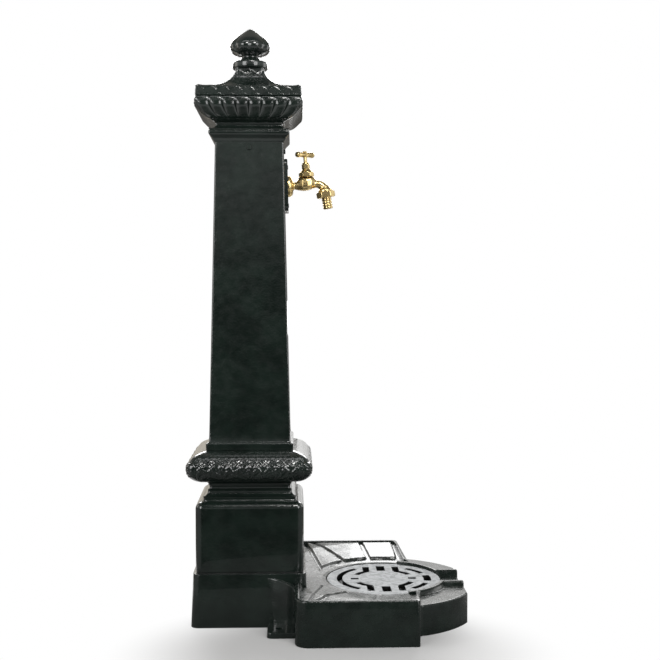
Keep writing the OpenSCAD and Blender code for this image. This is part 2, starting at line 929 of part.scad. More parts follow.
module capital_casting() {
    color(cast_green)
        difference() {
            mitred(capital_points());
            mitred(capital_cave_points());
            translate([0, 0, z_finial - 2 * roof_plate])
                cylinder(r = stud_r + fit, h = 3 * roof_plate);
            at_faces()
                translate([skirt_cave_half - cut, 0, 0])
                    rotate([0, 90, 0])
                        cylinder(r = cap_screw_r + fit, h = 3 * skirt_wall);
        }
}

module capital_screws() {
    drop = (shaft_half - shaft_top_half) * cap_screw_drop / shaft_h;
    reach = shaft_top_half + drop;
    lean = sin(taper) * cap_head_r;
    color(cast_green)
        at_faces() {
            translate([reach + lean, 0, 0])
                rotate([0, 90, 0])
                    cylinder(r = cap_head_r, h = cap_head_t);
            translate([skirt_cave_half, 0, 0])
                rotate([0, 90, 0])
                    cylinder(r = cap_screw_r, h = reach - skirt_cave_half + cap_head_t);
        }
}

module finial() {
    neck = 0.39 * bulb_r;
    color(cast_green)
        difference() {
            rotate_extrude()
                polygon(concat(
                    [[0, z_finial]],
                    curve(ring_r - ring_round, z_finial + ring_round, ring_round, ring_round,
                        2, -90, 0, 5),
                    curve(ring_r - ring_round, z_finial_neck - ring_round, ring_round, ring_round,
                        2, 0, 90, 5),
                    [
                        [0.72 * ring_r, z_finial_neck],
                        [neck + 1.5, z_finial_neck + 0.35 * finial_neck_h],
                        [neck, z_finial_neck + 0.7 * finial_neck_h],
                        [neck + 1, z_bulb]
                    ],
                    [for (p = [
                        [0.6, 0.04], [0.83, 0.11], [0.95, 0.2], [1, 0.31], [0.99, 0.38],
                        [0.94, 0.46], [0.78, 0.6], [0.53, 0.75], [0.28, 0.89], [0.15, 0.96],
                        [0.07, 0.99]
                    ]) [p[0] * bulb_r, z_bulb + p[1] * bulb_h]],
                    [[0, z_bulb + bulb_h]]
                ));
            translate([0, 0, z_finial - cut])
                cylinder(r = stud_r + fit, h = stud_grip + 2 + cut);
        }
}

module finial_stud() {
    color(steel)
        translate([0, 0, z_stud_nut - stud_tail])
            cylinder(r = stud_r, h = z_finial + stud_grip - z_stud_nut + stud_tail);
}

module finial_washer() {
    color(steel)
        translate([0, 0, z_stud_nut + nut_t])
            ring(washer_k * stud_r, stud_r + 3 * fit, washer_t);
}

module finial_nut() {
    color(steel)
        translate([0, 0, z_stud_nut])
            difference() {
                hexagon(hex_k * stud_d, nut_t);
                translate([0, 0, -cut])
                    cylinder(r = stud_r + fit, h = nut_t + 2 * cut);
            }
}

// Tap plate and supply

// On the shaft's front face at the tap's axis, X square to the face.
module at_tap() {
    translate([face_x, 0, z_tap])
        rotate([0, -taper, 0])
            children();
}

module at_plate_screws() {
    at_tap()
        for (side = [-1, 1])
            translate([0, 0, side * (plate_l / 2 - plate_screw_in)])
                children();
}

module tap_plate() {
    color(cast_green)
        difference() {
            at_tap()
                rotate([90, 0, 90])
                    linear_extrude(height = plate_t)
                        difference() {
                            rounded_square(plate_w / 2, plate_l / 2, plate_r);
                            circle(r = shank_r + 0.6);
                        }
            at_plate_screws()
                translate([-cut, 0, 0])
                    rotate([0, 90, 0])
                        cylinder(r = plate_screw_d / 2 + 0.2, h = plate_t + 2 * cut);
        }
}

module plate_screws() {
    head_t = 0.2 * plate_screw_d;
    color(cast_green)
        at_plate_screws()
            rotate([0, 90, 0]) {
                translate([0, 0, plate_t])
                    cylinder(r = 0.85 * plate_screw_d, h = head_t);
                translate([0, 0, -wall - 2])
                    cylinder(r = plate_screw_d / 2, h = wall + 2 + plate_t + head_t / 2);
            }
}

module escutcheon() {
    r = escutcheon_d / 2;
    r_in = shank_r + 2 * fit;
    h = escutcheon_h;
    skin = 1.5;
    color(brass)
        at_tap()
            translate([plate_t, 0, 0])
                rotate([0, 90, 0])
                    rotate_extrude()
                        polygon(concat(
                            [[r - skin, 0], [r, 0]],
                            curve(r_in + 1, 0.2 * h, r - r_in - 1, 0.8 * h, 2, 0, 90, 8),
                            [[r_in, h], [r_in, h - skin]],
                            curve(r_in + 1, 0.2 * h, r - r_in - 1 - skin, 0.8 * h - skin,
                                2, 90, 0, 8)
                        ));
}

module tap_lockwasher() {
    color(rubber)
        at_tap()
            rotate([0, -90, 0])
                translate([0, 0, wall_in + fit])
                    ring(shank_r + 5, shank_r + 2 * fit, lockwasher_t);
}

module tap_locknut() {
    color(brass)
        at_tap()
            rotate([0, -90, 0])
                translate([0, 0, wall_in + fit + lockwasher_t])
                    difference() {
                        hexagon(2 * shank_r + 8, locknut_t);
                        translate([0, 0, -cut])
                            cylinder(r = shank_r + fit, h = locknut_t + 2 * cut);
                    }
}

module riser_elbow() {
    mouth = wall_in + fit + lockwasher_t + locknut_t + 1;
    color(brass)
        difference() {
            union() {
                at_tap()
                    rotate([0, -90, 0])
                        translate([0, 0, mouth])
                            cylinder(r = socket_r, h = riser_back - mouth);
                translate([riser_x, 0, elbow_z])
                    sphere(r = coupling_r + 2);
                translate([riser_x, 0, elbow_z - elbow_leg])
                    cylinder(r = coupling_r, h = elbow_leg);
            }
            at_tap()
                rotate([0, -90, 0]) {
                    cylinder(r = shank_r + fit, h = shank_l + cut);
                    cylinder(r = waterway_r + 1, h = riser_back);
                }
            translate([riser_x, 0, elbow_z])
                sphere(r = waterway_r + 4);
            translate([riser_x, 0, elbow_z - elbow_leg - cut]) {
                cylinder(r = riser_r + fit, h = pipe_in + cut);
                cylinder(r = waterway_r + 2, h = elbow_leg + cut);
            }
        }
}

module riser_pipe() {
    color(steel)
        translate([riser_x, 0, riser_foot])
            ring(riser_r, riser_bore_r, riser_top - riser_foot);
}

module inlet_coupling() {
    color(brass)
        translate([riser_x, 0, inlet_h])
            difference() {
                cylinder(r = coupling_r, h = coupling_l);
                translate([0, 0, coupling_l - pipe_in])
                    cylinder(r = riser_r + fit, h = pipe_in + cut);
                translate([0, 0, -cut])
                    cylinder(r = inlet_r, h = inlet_depth + cut);
                translate([0, 0, -cut])
                    cylinder(r = riser_bore_r, h = coupling_l);
            }
}

// Tap

// On the spindle's axis at the inlet's height, Z along the spindle.
module at_headwork() {
    at_tap()
        translate([spindle_out, 0, 0])
            rotate([0, -headwork_lean, 0])
                children();
}

// At the outlet's end face, Z the way the water leaves.
module at_outlet() {
    at_tap()
        translate([outlet_x, 0, outlet_z])
            rotate([0, 180 - outlet_tilt, 0])
                children();
}

module spout_pipe(r, start) {
    translate([start, 0, spout_rise])
        rotate([0, 90, 0])
            cylinder(r = r, h = spindle_out + spout_run - start);
    translate([spindle_out + spout_run, 0, spout_rise - spout_bend])
        rotate([90, 0, 0])
            rotate([0, 0, outlet_tilt])
                rotate_extrude(angle = 90 - outlet_tilt)
                    translate([spout_bend, 0])
                        circle(r = r);
    translate([spindle_out + spout_run, 0, spout_rise])
        sphere(r = r + 0.25);
}

module tap_body() {
    neck_in = plate_t + escutcheon_h;
    spout_bore = spout_r - 2.5;
    color(brass)
        difference() {
            union() {
                at_tap() {
                    translate([-shank_l, 0, 0])
                        rotate([0, 90, 0])
                            rotate_extrude()
                                polygon([
                                    [0, 0],
                                    [shank_r, 0],
                                    [shank_r, shank_l + neck_in + 0.5],
                                    [neck_r + 1, shank_l + neck_in + 2],
                                    [neck_r, shank_l + neck_in + 4],
                                    [neck_r, shank_l + neck_in + 8],
                                    [neck_r + 1.6, shank_l + spindle_out - 6],
                                    [neck_r + 2, shank_l + spindle_out],
                                    [0, shank_l + spindle_out]
                                ]);
                    spout_pipe(spout_r, spindle_out);
                }
                at_headwork()
                    rotate_extrude()
                        polygon(concat(
                            curve(0, 0, chamber_r - 0.5, neck_r + 2.6, 2.4, -90, 0, 10),
                            [
                                [chamber_r, valve_seat_h],
                                [chamber_r, chamber_top],
                                [0, chamber_top]
                            ]
                        ));
                at_outlet()
                    translate([0, 0, -outlet_l]) {
                        translate([0, 0, -shoulder_t])
                            cylinder(r = (spout_r + outlet_r) / 2, h = shoulder_t + cut);
                        cylinder(r = outlet_r, h = outlet_l);
                    }
            }
            at_tap() {
                translate([-shank_l - cut, 0, 0])
                    rotate([0, 90, 0])
                        cylinder(r = waterway_r, h = shank_l + cut + spindle_out + waterway_r / 2);
                spout_pipe(spout_bore, spindle_out + jumper_r - 0.3);
            }
            at_headwork() {
                cylinder(r = waterway_r, h = chamber_top);
                translate([0, 0, valve_seat_h])
                    cylinder(r = chamber_bore_r, h = chamber_top);
            }
            at_outlet()
                translate([0, 0, -outlet_l - cut])
                    cylinder(r = spout_bore + cut, h = outlet_l + 2 * cut);
        }
}

module bonnet_gasket() {
    color(rubber)
        at_headwork()
            translate([0, 0, chamber_top])
                ring(chamber_r - 0.2, chamber_bore_r, bonnet_gasket_t);
}

module bonnet() {
    spigot_r = chamber_bore_r - fit;
    color(brass)
        at_headwork()
            difference() {
                union() {
                    translate([0, 0, bonnet_z - bonnet_spigot])
                        cylinder(r = spigot_r, h = bonnet_spigot + cut);
                    translate([0, 0, bonnet_z])
                        hexagon(bonnet_af, bonnet_h);
                    translate([0, 0, bonnet_z + bonnet_h - cut])
                        cylinder(r = collar_r, h = collar_h + cut);
                    translate([0, 0, gland_z - cut])
                        cylinder(r = gland_thread_r, h = gland_thread_h + cut);
                }
                translate([0, 0, bonnet_z - bonnet_spigot - cut])
                    cylinder(r = jumper_r + 0.4, h = bonnet_spigot + cut);
                translate([0, 0, bonnet_z - cut])
                    cylinder(r = spindle_r + fit, h = gland_z - bonnet_z + cut);
                translate([0, 0, gland_z - cut])
                    cylinder(r = stem_r + 0.3, h = gland_thread_h + 2 * cut);
            }
}

module gland_packing() {
    color(rubber)
        at_headwork()
            translate([0, 0, gland_z + gland_thread_h])
                ring(gland_thread_r, stem_r + fit, packing_t);
}

module gland_nut() {
    color(brass)
        at_headwork()
            translate([0, 0, gland_z])
                difference() {
                    union() {
                        hexagon(gland_af, gland_h - 3);
                        cylinder(r = gland_af / 2 - 0.4, h = gland_h);
                    }
                    translate([0, 0, -cut])
                        cylinder(r = gland_thread_r + fit, h = gland_thread_h + packing_t + cut);
                    cylinder(r = stem_r + 0.3, h = gland_h + cut);
                }
}

module spindle() {
    color(brass)
        at_headwork()
            difference() {
                union() {
                    translate([0, 0, spindle_foot])
                        cylinder(r = spindle_r, h = thread_top - spindle_foot);
                    translate([0, 0, spindle_foot])
                        cylinder(r = stem_r, h = handle_z - spindle_foot);
                    translate([0, 0, spindle_foot])
                        cylinder(r = hub_bore_r, h = handle_z + hub_h - 1 - spindle_foot);
                }
                translate([0, 0, spindle_foot - cut])
                    cylinder(r = jumper_stem_r + fit, h = jumper_stem_h + cut + 0.5);
                translate([0, 0, handle_z])
                    cylinder(r = pin_r + fit, h = hub_h);
            }
}

module tee_handle() {
    half = bar_l / 2;
    end_r = bar_end_d / 2;
    waist = bar_d / 2;
    color(brass)
        at_headwork()
            rotate([0, 0, handle_turn])
                difference() {
                    union() {
                        translate([0, 0, handle_z])
                            cylinder(r = hub_r, h = hub_h);
                        translate([-half, 0, handle_z + hub_h / 2])
                            rotate([0, 90, 0])
                                rotate_extrude()
                                    polygon([
                                        [0, 0], [0.7 * end_r, 0], [0.95 * end_r, 1],
                                        [end_r, 2.5], [end_r, 4.5],
                                        [0.9 * end_r, 0.3 * half], [waist, 0.62 * half],
                                        [waist, 1.38 * half], [0.9 * end_r, 1.7 * half],
                                        [end_r, bar_l - 4.5], [end_r, bar_l - 2.5],
                                        [0.95 * end_r, bar_l - 1], [0.7 * end_r, bar_l],
                                        [0, bar_l]
                                    ]);
                    }
                    translate([0, 0, handle_z - cut])
                        cylinder(r = hub_bore_r + fit, h = hub_h + 2 * cut);
                }
}

module handle_screw() {
    color(brass)
        at_headwork() {
            translate([0, 0, handle_z + hub_h])
                cylinder(r = hub_r - 1.2, h = screw_head_h);
            translate([0, 0, handle_z + 1])
                cylinder(r = pin_r, h = hub_h);
        }
}

module jumper() {
    color(brass)
        at_headwork() {
            translate([0, 0, washer_top])
                cylinder(r = jumper_r, h = jumper_t);
            translate([0, 0, washer_top])
                cylinder(r = jumper_stem_r, h = jumper_t + jumper_stem_h);
            translate([0, 0, valve_seat_h - washer_nut_t - 0.6])
                cylinder(r = pin_r, h = tap_washer_t + washer_nut_t + 0.6 + jumper_t);
        }
}

module tap_washer() {
    color(rubber)
        at_headwork()
            translate([0, 0, valve_seat_h])
                ring(jumper_r - 0.4, pin_r + fit, tap_washer_t);
}

module washer_nut() {
    color(brass)
        at_headwork()
            translate([0, 0, valve_seat_h - washer_nut_t])
                difference() {
                    hexagon(5.5, washer_nut_t);
                    translate([0, 0, -cut])
                        cylinder(r = pin_r + fit, h = washer_nut_t + 2 * cut);
                }
}

module union_washer() {
    color(rubber)
        at_outlet()
            ring(tail_flange_r, tail_bore_r, union_washer_t);
}

module hose_tail() {
    foot = union_foot + tail_l;
    color(brass)
        at_outlet()
            rotate_extrude()
                polygon(concat(
                    [
                        [tail_bore_r, union_washer_t],
                        [tail_flange_r, union_washer_t],
                        [tail_flange_r, union_washer_t + tail_flange_t],
                        [tail_neck_r, union_washer_t + tail_flange_t],
                        [tail_neck_r, union_foot + 1]
                    ],
                    [for (i = [0 : tail_rings - 1], k = [0 : 3])
                        [tail_r + (k == 1 || k == 2 ? ring_rise : 0),
                         union_foot + ring_pitch * (i + 0.5 + [0, 0.15, 0.55, 1][k] * 0.98)]],
                    [
                        [tail_r, foot - 0.8],
                        [tail_r - 0.8, foot],
                        [tail_bore_r, foot]
                    ]
                ));
}

module union_nut() {
    color(brass)
        at_outlet()
            translate([0, 0, union_foot - union_h])
                difference() {
                    intersection() {
                        hexagon(union_af, union_h);
                        rotate_extrude()
                            polygon([
                                [0, 0],
                                [0.48 * union_af, 0],
                                [0.6 * union_af, 2],
                                [0.6 * union_af, union_h - 2],
                                [0.48 * union_af, union_h],
                                [0, union_h]
                            ]);
                    }
                    translate([0, 0, -cut])
                        cylinder(r = outlet_r + fit, h = union_h - union_lip + cut);
                    cylinder(r = union_lip_r, h = union_h + cut);
                }
}

base_casting();
drain_grate();
base_gasket();
column_bolts();
column_washers();
column_casting();
capital_casting();
capital_screws();
finial();
finial_stud();
finial_washer();
finial_nut();
tap_plate();
plate_screws();
escutcheon();
tap_body();
bonnet_gasket();
bonnet();
gland_packing();
gland_nut();
spindle();
tee_handle();
handle_screw();
jumper();
tap_washer();
washer_nut();
union_washer();
hose_tail();
union_nut();
tap_lockwasher();
tap_locknut();
riser_elbow();
riser_pipe();
inlet_coupling();
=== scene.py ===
# %% [markdown]
# # A cast garden standpipe
# The object is a square cast-iron pillar about 1.1 m tall, painted a very dark gloss green, with a brass
# tap on its front face and a catch basin with a round grate at its foot. The solids of the part are
# loaded first and never moved. New surfaces are then laid over the castings, because the leaf, lobe and
# scale relief of the real object is ornament and not engineering.

# %% Load the frame
import json

import bmesh
import bpy
import numpy as np
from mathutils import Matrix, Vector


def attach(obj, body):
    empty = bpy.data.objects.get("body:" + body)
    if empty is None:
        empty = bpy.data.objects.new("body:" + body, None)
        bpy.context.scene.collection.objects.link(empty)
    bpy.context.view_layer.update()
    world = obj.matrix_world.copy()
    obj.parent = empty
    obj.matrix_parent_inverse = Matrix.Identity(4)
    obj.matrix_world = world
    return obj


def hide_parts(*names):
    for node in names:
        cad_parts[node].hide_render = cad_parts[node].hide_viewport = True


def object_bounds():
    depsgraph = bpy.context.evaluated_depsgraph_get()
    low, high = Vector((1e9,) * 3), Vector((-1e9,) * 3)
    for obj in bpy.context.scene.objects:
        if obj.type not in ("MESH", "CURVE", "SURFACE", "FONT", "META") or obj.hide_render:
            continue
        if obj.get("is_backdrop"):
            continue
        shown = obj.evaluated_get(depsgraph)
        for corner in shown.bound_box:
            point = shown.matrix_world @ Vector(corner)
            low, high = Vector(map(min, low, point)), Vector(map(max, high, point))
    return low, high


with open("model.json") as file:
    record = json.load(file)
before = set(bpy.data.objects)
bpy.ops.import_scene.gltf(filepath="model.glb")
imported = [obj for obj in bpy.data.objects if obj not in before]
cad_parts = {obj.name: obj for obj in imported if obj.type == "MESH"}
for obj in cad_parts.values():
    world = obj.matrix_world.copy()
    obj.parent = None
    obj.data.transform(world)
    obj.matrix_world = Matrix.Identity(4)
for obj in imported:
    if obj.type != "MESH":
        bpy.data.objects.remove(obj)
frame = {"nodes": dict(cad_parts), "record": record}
scene = bpy.context.scene
cad_low, cad_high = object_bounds()
print("frame:", len(frame["nodes"]), "nodes, height", round(cad_high.z, 4), "m")

# %% [markdown]
# ## The camera
# The picture was taken from about two metres, slightly above the middle of the pillar and nearly square
# to its side. A camera could be turned with a tracking constraint, but two plain angles are easier to
# correct: pan is the turn towards the tap and dip the look downwards.

# %% Camera
PICTURE_SIDE = 660
FOCAL_PIXELS = 1057
SENSOR = 36.0
EYE = (0.0792, -2.0034, 0.613)
PAN = 0.0351
DIP = 0.0385

lens = bpy.data.cameras.new("picture_lens")
lens.sensor_width = SENSOR
lens.lens = SENSOR * FOCAL_PIXELS / PICTURE_SIDE
camera = bpy.data.objects.new("picture_camera", lens)
camera.location = EYE
camera.rotation_euler = (np.pi / 2 - DIP, 0, -PAN)
scene.collection.objects.link(camera)
scene.camera = camera
scene.view_settings.view_transform = "Standard"
print("lens:", round(lens.lens, 2), "mm")

# %% [markdown]
# ## Writing shaders as arithmetic
# A finish is a small sum of patterns. Adding each Math node by hand would hide that sum, so one class
# wraps an output socket and lets Python's operators add the nodes. Any other node goes through one
# method, which sets the node's own settings first and then its sockets.

# %% Shader wires
COLOUR_A = 6
COLOUR_B = 7
COLOUR_RESULT = 2


class Wire:
    """One output of a shader node. Arithmetic on wires adds Math nodes to the same tree."""

    def __init__(self, tree, socket=None):
        self.tree = tree
        self.socket = socket

    def node(self, kind, settings, sockets, output=0):
        """Adds a node: its settings, then a value or a wire for each named input socket."""
        made = self.tree.nodes.new(kind)
        for name, value in settings.items():
            setattr(made, name, value)
        for name, value in sockets.items():
            if isinstance(value, Wire):
                self.tree.links.new(value.socket, made.inputs[name])
            else:
                made.inputs[name].default_value = value
        return Wire(self.tree, made.outputs[output])

    def math(self, operation, first, second=0.0):
        """One Math node of two values."""
        return self.node("ShaderNodeMath", {"operation": operation}, {0: first, 1: second})

    def smooth(self, low, high):
        """Rises smoothly from 0 where the value is low to 1 where it is high."""
        settings = {"interpolation_type": "SMOOTHSTEP"}
        sockets = {"Value": self, "From Min": low, "From Max": high}
        return self.node("ShaderNodeMapRange", settings, sockets)

    def blend(self, first, second):
        """A colour between two, by this value."""
        sockets = {"Factor": self, COLOUR_A: first, COLOUR_B: second}
        return self.node("ShaderNodeMix", {"data_type": "RGBA"}, sockets, COLOUR_RESULT)

    def axis(self, name):
        """The X, Y or Z of this wire's vector."""
        return self.node("ShaderNodeSeparateXYZ", {}, {"Vector": self}, name)

    def vector(self, operation, second=(0, 0, 0), output=0):
        """One Vector Math node of this wire and a second vector."""
        return self.node("ShaderNodeVectorMath", {"operation": operation}, {0: self, 1: second}, output)

    def ray(self, kind):
        """1 for rays of one kind and 0 for all others."""
        return self.node("ShaderNodeLightPath", {}, {}, "Is " + kind + " Ray")

    def into(self, shader, name):
        """Links this wire to a socket of a shader."""
        self.tree.links.new(self.socket, shader.inputs[name])

    def __add__(self, other):
        return self.math("ADD", self, other)

    def __sub__(self, other):
        return self.math("SUBTRACT", self, other)

    def __rsub__(self, other):
        return self.math("SUBTRACT", other, self)

    def __mul__(self, other):
        return self.math("MULTIPLY", self, other)

    __radd__ = __add__
    __rmul__ = __mul__


print("shader wires ready")

# %% [markdown]
# ## The studio
# The object stands before a white screen that hangs clear of the floor and ends a little to the right. The
# room behind the camera is dim, lighter above and pale on the ground, which is why the near faces of the
# gloss paint look almost black at the foot and greener at the top. One could build walls, but a world whose
# brightness depends on direction gives the same reflections and nothing to trip over in other views. Rays
# straight from the camera always see plain white, and reflected rays see it wherever the screen is.

# %% World
WHITE = (1, 1, 1, 1)
ROOM_TINT = (1.0, 0.95, 0.87, 1)
FRONT_LOW = 0.015
FRONT_HIGH = 0.3
FRONT_GROUND = 0.45
SIDE_GLOW = 0.25
BACK_GLOW = 0.14
TOP_GLOW = 0.08
SCREEN = 0.85
BACK_FROM = (0.0, 0.35)
SCREEN_FOOT = (0.21, 0.31)
SCREEN_HEAD = (0.4, 0.55)
SCREEN_END = (0.05, 0.3)
FRONT_RISE = (0.03, 0.16)
FRONT_FALL = (0.2, 0.5)
GROUND_FROM = (0.28, 0.6)
SIDE_FROM = (0.3, 0.75)
TOP_FROM = (0.5, 0.95)

world = bpy.data.worlds.new("white_studio")
world.use_nodes = True
scene.world = world
sky = Wire(world.node_tree)
towards = sky.node("ShaderNodeTexCoord", {}, {}, "Generated")
across = towards.axis("X")
upward = towards.axis("Z")
back = towards.axis("Y").smooth(*BACK_FROM)
screen = SCREEN * back * upward.smooth(*SCREEN_FOOT)
screen = screen * (1 - upward.smooth(*SCREEN_HEAD)) * (1 - across.smooth(*SCREEN_END))
front = (FRONT_HIGH - FRONT_LOW) * upward.smooth(*FRONT_RISE) * (1 - upward.smooth(*FRONT_FALL))
ground = FRONT_GROUND * (0 - upward).smooth(*GROUND_FROM)
side = SIDE_GLOW * sky.math("ABSOLUTE", across).smooth(*SIDE_FROM)
room = back * BACK_GLOW + (1 - back) * (FRONT_LOW + front + ground + side)
room = room + TOP_GLOW * upward.smooth(*TOP_FROM)
caught = sky.math("MAXIMUM", sky.ray("Glossy"), sky.ray("Transmission"))
plain = sky.math("MAXIMUM", sky.ray("Camera"), caught * screen)
backdrop = world.node_tree.nodes["Background"]
plain.blend(back.blend(WHITE, ROOM_TINT), WHITE).into(backdrop, "Color")
(plain + (1 - plain) * room).into(backdrop, "Strength")
print("world: directional room, white to the camera")

# %% Lamps
LAMPS = {
    "key": ((0.45, -1.75, 2.25), (0.05, 0.0, 0.6), (0.6, 0.45), 20.0, (1.0, 0.99, 0.97)),
    "left_front": ((-1.3, -1.9, 1.2), (0.05, 0.0, 0.55), (0.9, 1.6), 22.0),
    "right_front": ((1.4, -1.9, 1.2), (0.1, 0.0, 0.55), (0.9, 1.6), 22.0),
    "top_strip": ((0.1, -0.6, 2.3), (0.1, 0.0, 0.3), (1.6, 0.25), 3.0),
    "back_sky": ((0.2, 1.9, 1.56), (0.2, 0.0, 0.0), (2.4, 0.72), 41.0),
    "pad_strip": ((0.2, 0.9, 0.535), (0.15, 0.17, 0.08), (0.34, 0.11), 0.36),
    "low_left": ((-0.5, 1.1, 0.3), (0.0, 0.0, 0.29), (0.8, 0.5), 0.6, (1.0, 0.92, 0.78)),
    "low_right": ((0.55, 1.1, 0.3), (0.0, 0.0, 0.29), (0.8, 0.5), 0.95),
    "right_panel": ((1.6, 0.5, 0.9), (0.0, 0.0, 0.55), (0.7, 1.4), 5.0),
    "left_panel": ((-1.7, 0.3, 1.0), (0.0, 0.0, 0.55), (0.7, 1.4), 4.0, (1.0, 0.95, 0.88)),
}


def lamp(name, place, target, size, power, tint=(1, 1, 1)):
    """A rectangular soft lamp that looks from its place towards a target point."""
    light = bpy.data.lights.new(name, "AREA")
    light.shape = "RECTANGLE"
    light.size = size[0]
    light.size_y = size[1]
    light.energy = power
    light.color = tint
    holder = bpy.data.objects.new(name, light)
    holder.location = place
    aim = holder.location.copy()
    aim.x, aim.y, aim.z = np.subtract(target, place)
    holder.rotation_euler = aim.to_track_quat("-Z", "Y").to_euler()
    holder.visible_camera = False
    scene.collection.objects.link(holder)


for lamp_name, lamp_values in LAMPS.items():
    lamp(lamp_name, *lamp_values)
print("lamps:", len(LAMPS))

# %% [markdown]
# ## Meshes from grids
# Every new piece is a grid of points worked out by numpy: rows run along a profile and columns run round
# or across it. The helpers below turn such a grid into a closed mesh: the last column or row joins the
# first, an open end is closed by a fan of triangles to its middle, and points that meet are merged, which
# is simpler than treating poles apart.

# %% Grid to mesh
MM = 0.001
MERGE = 0.002 * MM
SHARP_ANGLE = np.radians(38)
FLAT_ANGLE = np.radians(1)


def sheet_faces(grid, ring=True, loop=False, ends=True):
    """Points and faces of a grid: one quad per cell, columns joined round if ring and rows if loop. If
    ends, what stays open is closed by fans to mean points: the end rows of a ring, the end columns of a
    loop."""
    rows, columns = grid.shape[:2]
    index = np.arange(rows * columns).reshape(rows, columns)
    if ring:
        index = np.concatenate([index, index[:, :1]], axis=1)
    if loop:
        index = np.concatenate([index, index[:1]], axis=0)
    quads = np.stack([index[:-1, :-1], index[:-1, 1:], index[1:, 1:], index[1:, :-1]], axis=-1)
    points = grid.reshape(-1, 3)
    faces = quads.reshape(-1, 4).tolist()
    if ends and ring != loop:
        start, stop = (index[0, ::-1], index[-1]) if ring else (index[:, 0], index[::-1, -1])
        hubs = [points[edge[1:]].mean(axis=0, keepdims=True) for edge in (start, stop)]
        points = np.concatenate([points, *hubs])
        hub = np.full(len(start) - 1, rows * columns)
        faces += np.stack([hub, start[:-1], start[1:]], axis=-1).tolist()
        faces += np.stack([hub + 1, stop[:-1], stop[1:]], axis=-1).tolist()
    return points, faces


def shown(name, mesh, flatten=False):
    """A new object of a mesh, smooth but for its sharp edges. Points that meet are merged first, and the
    triangles of flat faces are joined if flatten."""
    work = bmesh.new()
    work.from_mesh(mesh)
    bmesh.ops.remove_doubles(work, verts=work.verts, dist=MERGE)
    if flatten:
        bmesh.ops.dissolve_limit(
            work, angle_limit=FLAT_ANGLE, use_dissolve_boundaries=False, verts=work.verts, edges=work.edges)
    else:
        bmesh.ops.dissolve_degenerate(work, edges=work.edges, dist=MERGE)
    work.to_mesh(mesh)
    work.free()
    mesh.polygons.foreach_set("use_smooth", np.ones(len(mesh.polygons), bool))
    mesh.set_sharp_from_angle(angle=SHARP_ANGLE)
    made = bpy.data.objects.new(name, mesh)
    scene.collection.objects.link(made)
    return made


def piece(name, *grids, **closing):
    """One object from one or more grids in mm, closed as sheet_faces is told to."""
    sheets = [sheet_faces(grid, **closing) for grid in grids]
    points = np.concatenate([sheet[0] for sheet in sheets]) * MM
    starts = np.cumsum([0] + [len(sheet[0]) for sheet in sheets])
    faces = [[start + i for i in face] for sheet, start in zip(sheets, starts) for face in sheet[1]]
    mesh = bpy.data.meshes.new(name)
    mesh.from_pydata(points.tolist(), [], faces)
    return shown(name, mesh)


def dress(made, body, slot, finish, *nodes):
    """Gives a piece its finish, lets it ride on a body and stand for the named solids, which are hidden.
    The slot is not used.
    """
    made.data.materials.append(finish)
    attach(made, body)
    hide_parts(*nodes)
    print(made.name, "has", len(made.data.polygons), "faces")


print("grid helpers ready")

# %% [markdown]
# ## Profiles
# A moulding is drawn as a half outline and carried round. Real castings have no sharp arris, so one
# helper rounds every corner of a polyline, and another gives superellipse quarters for full curves.

# %% Profile helpers


def eased(points, radius, count=4):
    """A polyline with each inner corner replaced by a parabola that leaves one side and joins the next,
    no further from the corner than the radius or 0.45 of the shorter side."""
    points = np.asarray(points, float)
    corner = points[1:-1]
    back = points[:-2] - corner
    ahead = points[2:] - corner
    back_length = np.linalg.norm(back, axis=1, keepdims=True)
    ahead_length = np.linalg.norm(ahead, axis=1, keepdims=True)
    reach = np.minimum(radius, 0.45 * np.minimum(back_length, ahead_length))
    start = corner + back / back_length * reach
    stop = corner + ahead / ahead_length * reach
    s = np.linspace(0, 1, count)[None, :, None]
    bend = (1 - s) ** 2 * start[:, None] + 2 * s * (1 - s) * corner[:, None] + s**2 * stop[:, None]
    return np.concatenate([points[:1], bend.reshape(-1, 2), points[-1:]])


def signed_power(value, power):
    """The value's size raised to 2 over the power, with the value's sign."""
    return np.sign(value) * np.abs(value) ** (2 / power)


def quarter(cx, cz, rx, rz, first, last, count, power=2.0):
    """Points of a superellipse from one angle to another: each coordinate is the centre plus the radius
    times the signed power of the cosine or sine."""
    angle = np.radians(np.linspace(first, last, count))
    x = cx + rx * signed_power(np.cos(angle), power)
    z = cz + rz * signed_power(np.sin(angle), power)
    return np.stack([x, z], axis=-1)


def run_length(points):
    """Length along a polyline from its start to each of its points."""
    return np.concatenate([[0], np.cumsum(np.linalg.norm(np.diff(points, axis=0), axis=1))])


def spaced(points, step):
    """The same polyline with points at even steps of its length."""
    length = run_length(points)
    place = np.linspace(0, length[-1], int(np.ceil(length[-1] / step)) + 1)
    return np.stack([np.interp(place, length, column) for column in points.T], axis=-1)


def rise(value, low, high):
    """0 below low, 1 above high, and a smooth cubic between."""
    s = np.clip((value - low) / (high - low), 0, 1)
    return s * s * (3 - 2 * s)


def hump(value, low, full, fading, gone):
    """Rises from 0 at low to 1 at full, and falls again from fading to gone."""
    return rise(value, low, full) * (1 - rise(value, fading, gone))


print("profile helpers ready")

# %% [markdown]
# ## Square mouldings
# The pillar is square, so its mouldings are square rings stacked up a profile. Each ring is four sides
# and four rounded corners. A relief function may push each point out along the profile's normal, which
# keeps ornament and moulding apart: the moulding says where the surface is, the relief says what is on it.

# %% Square rings
TINY = 1e-9


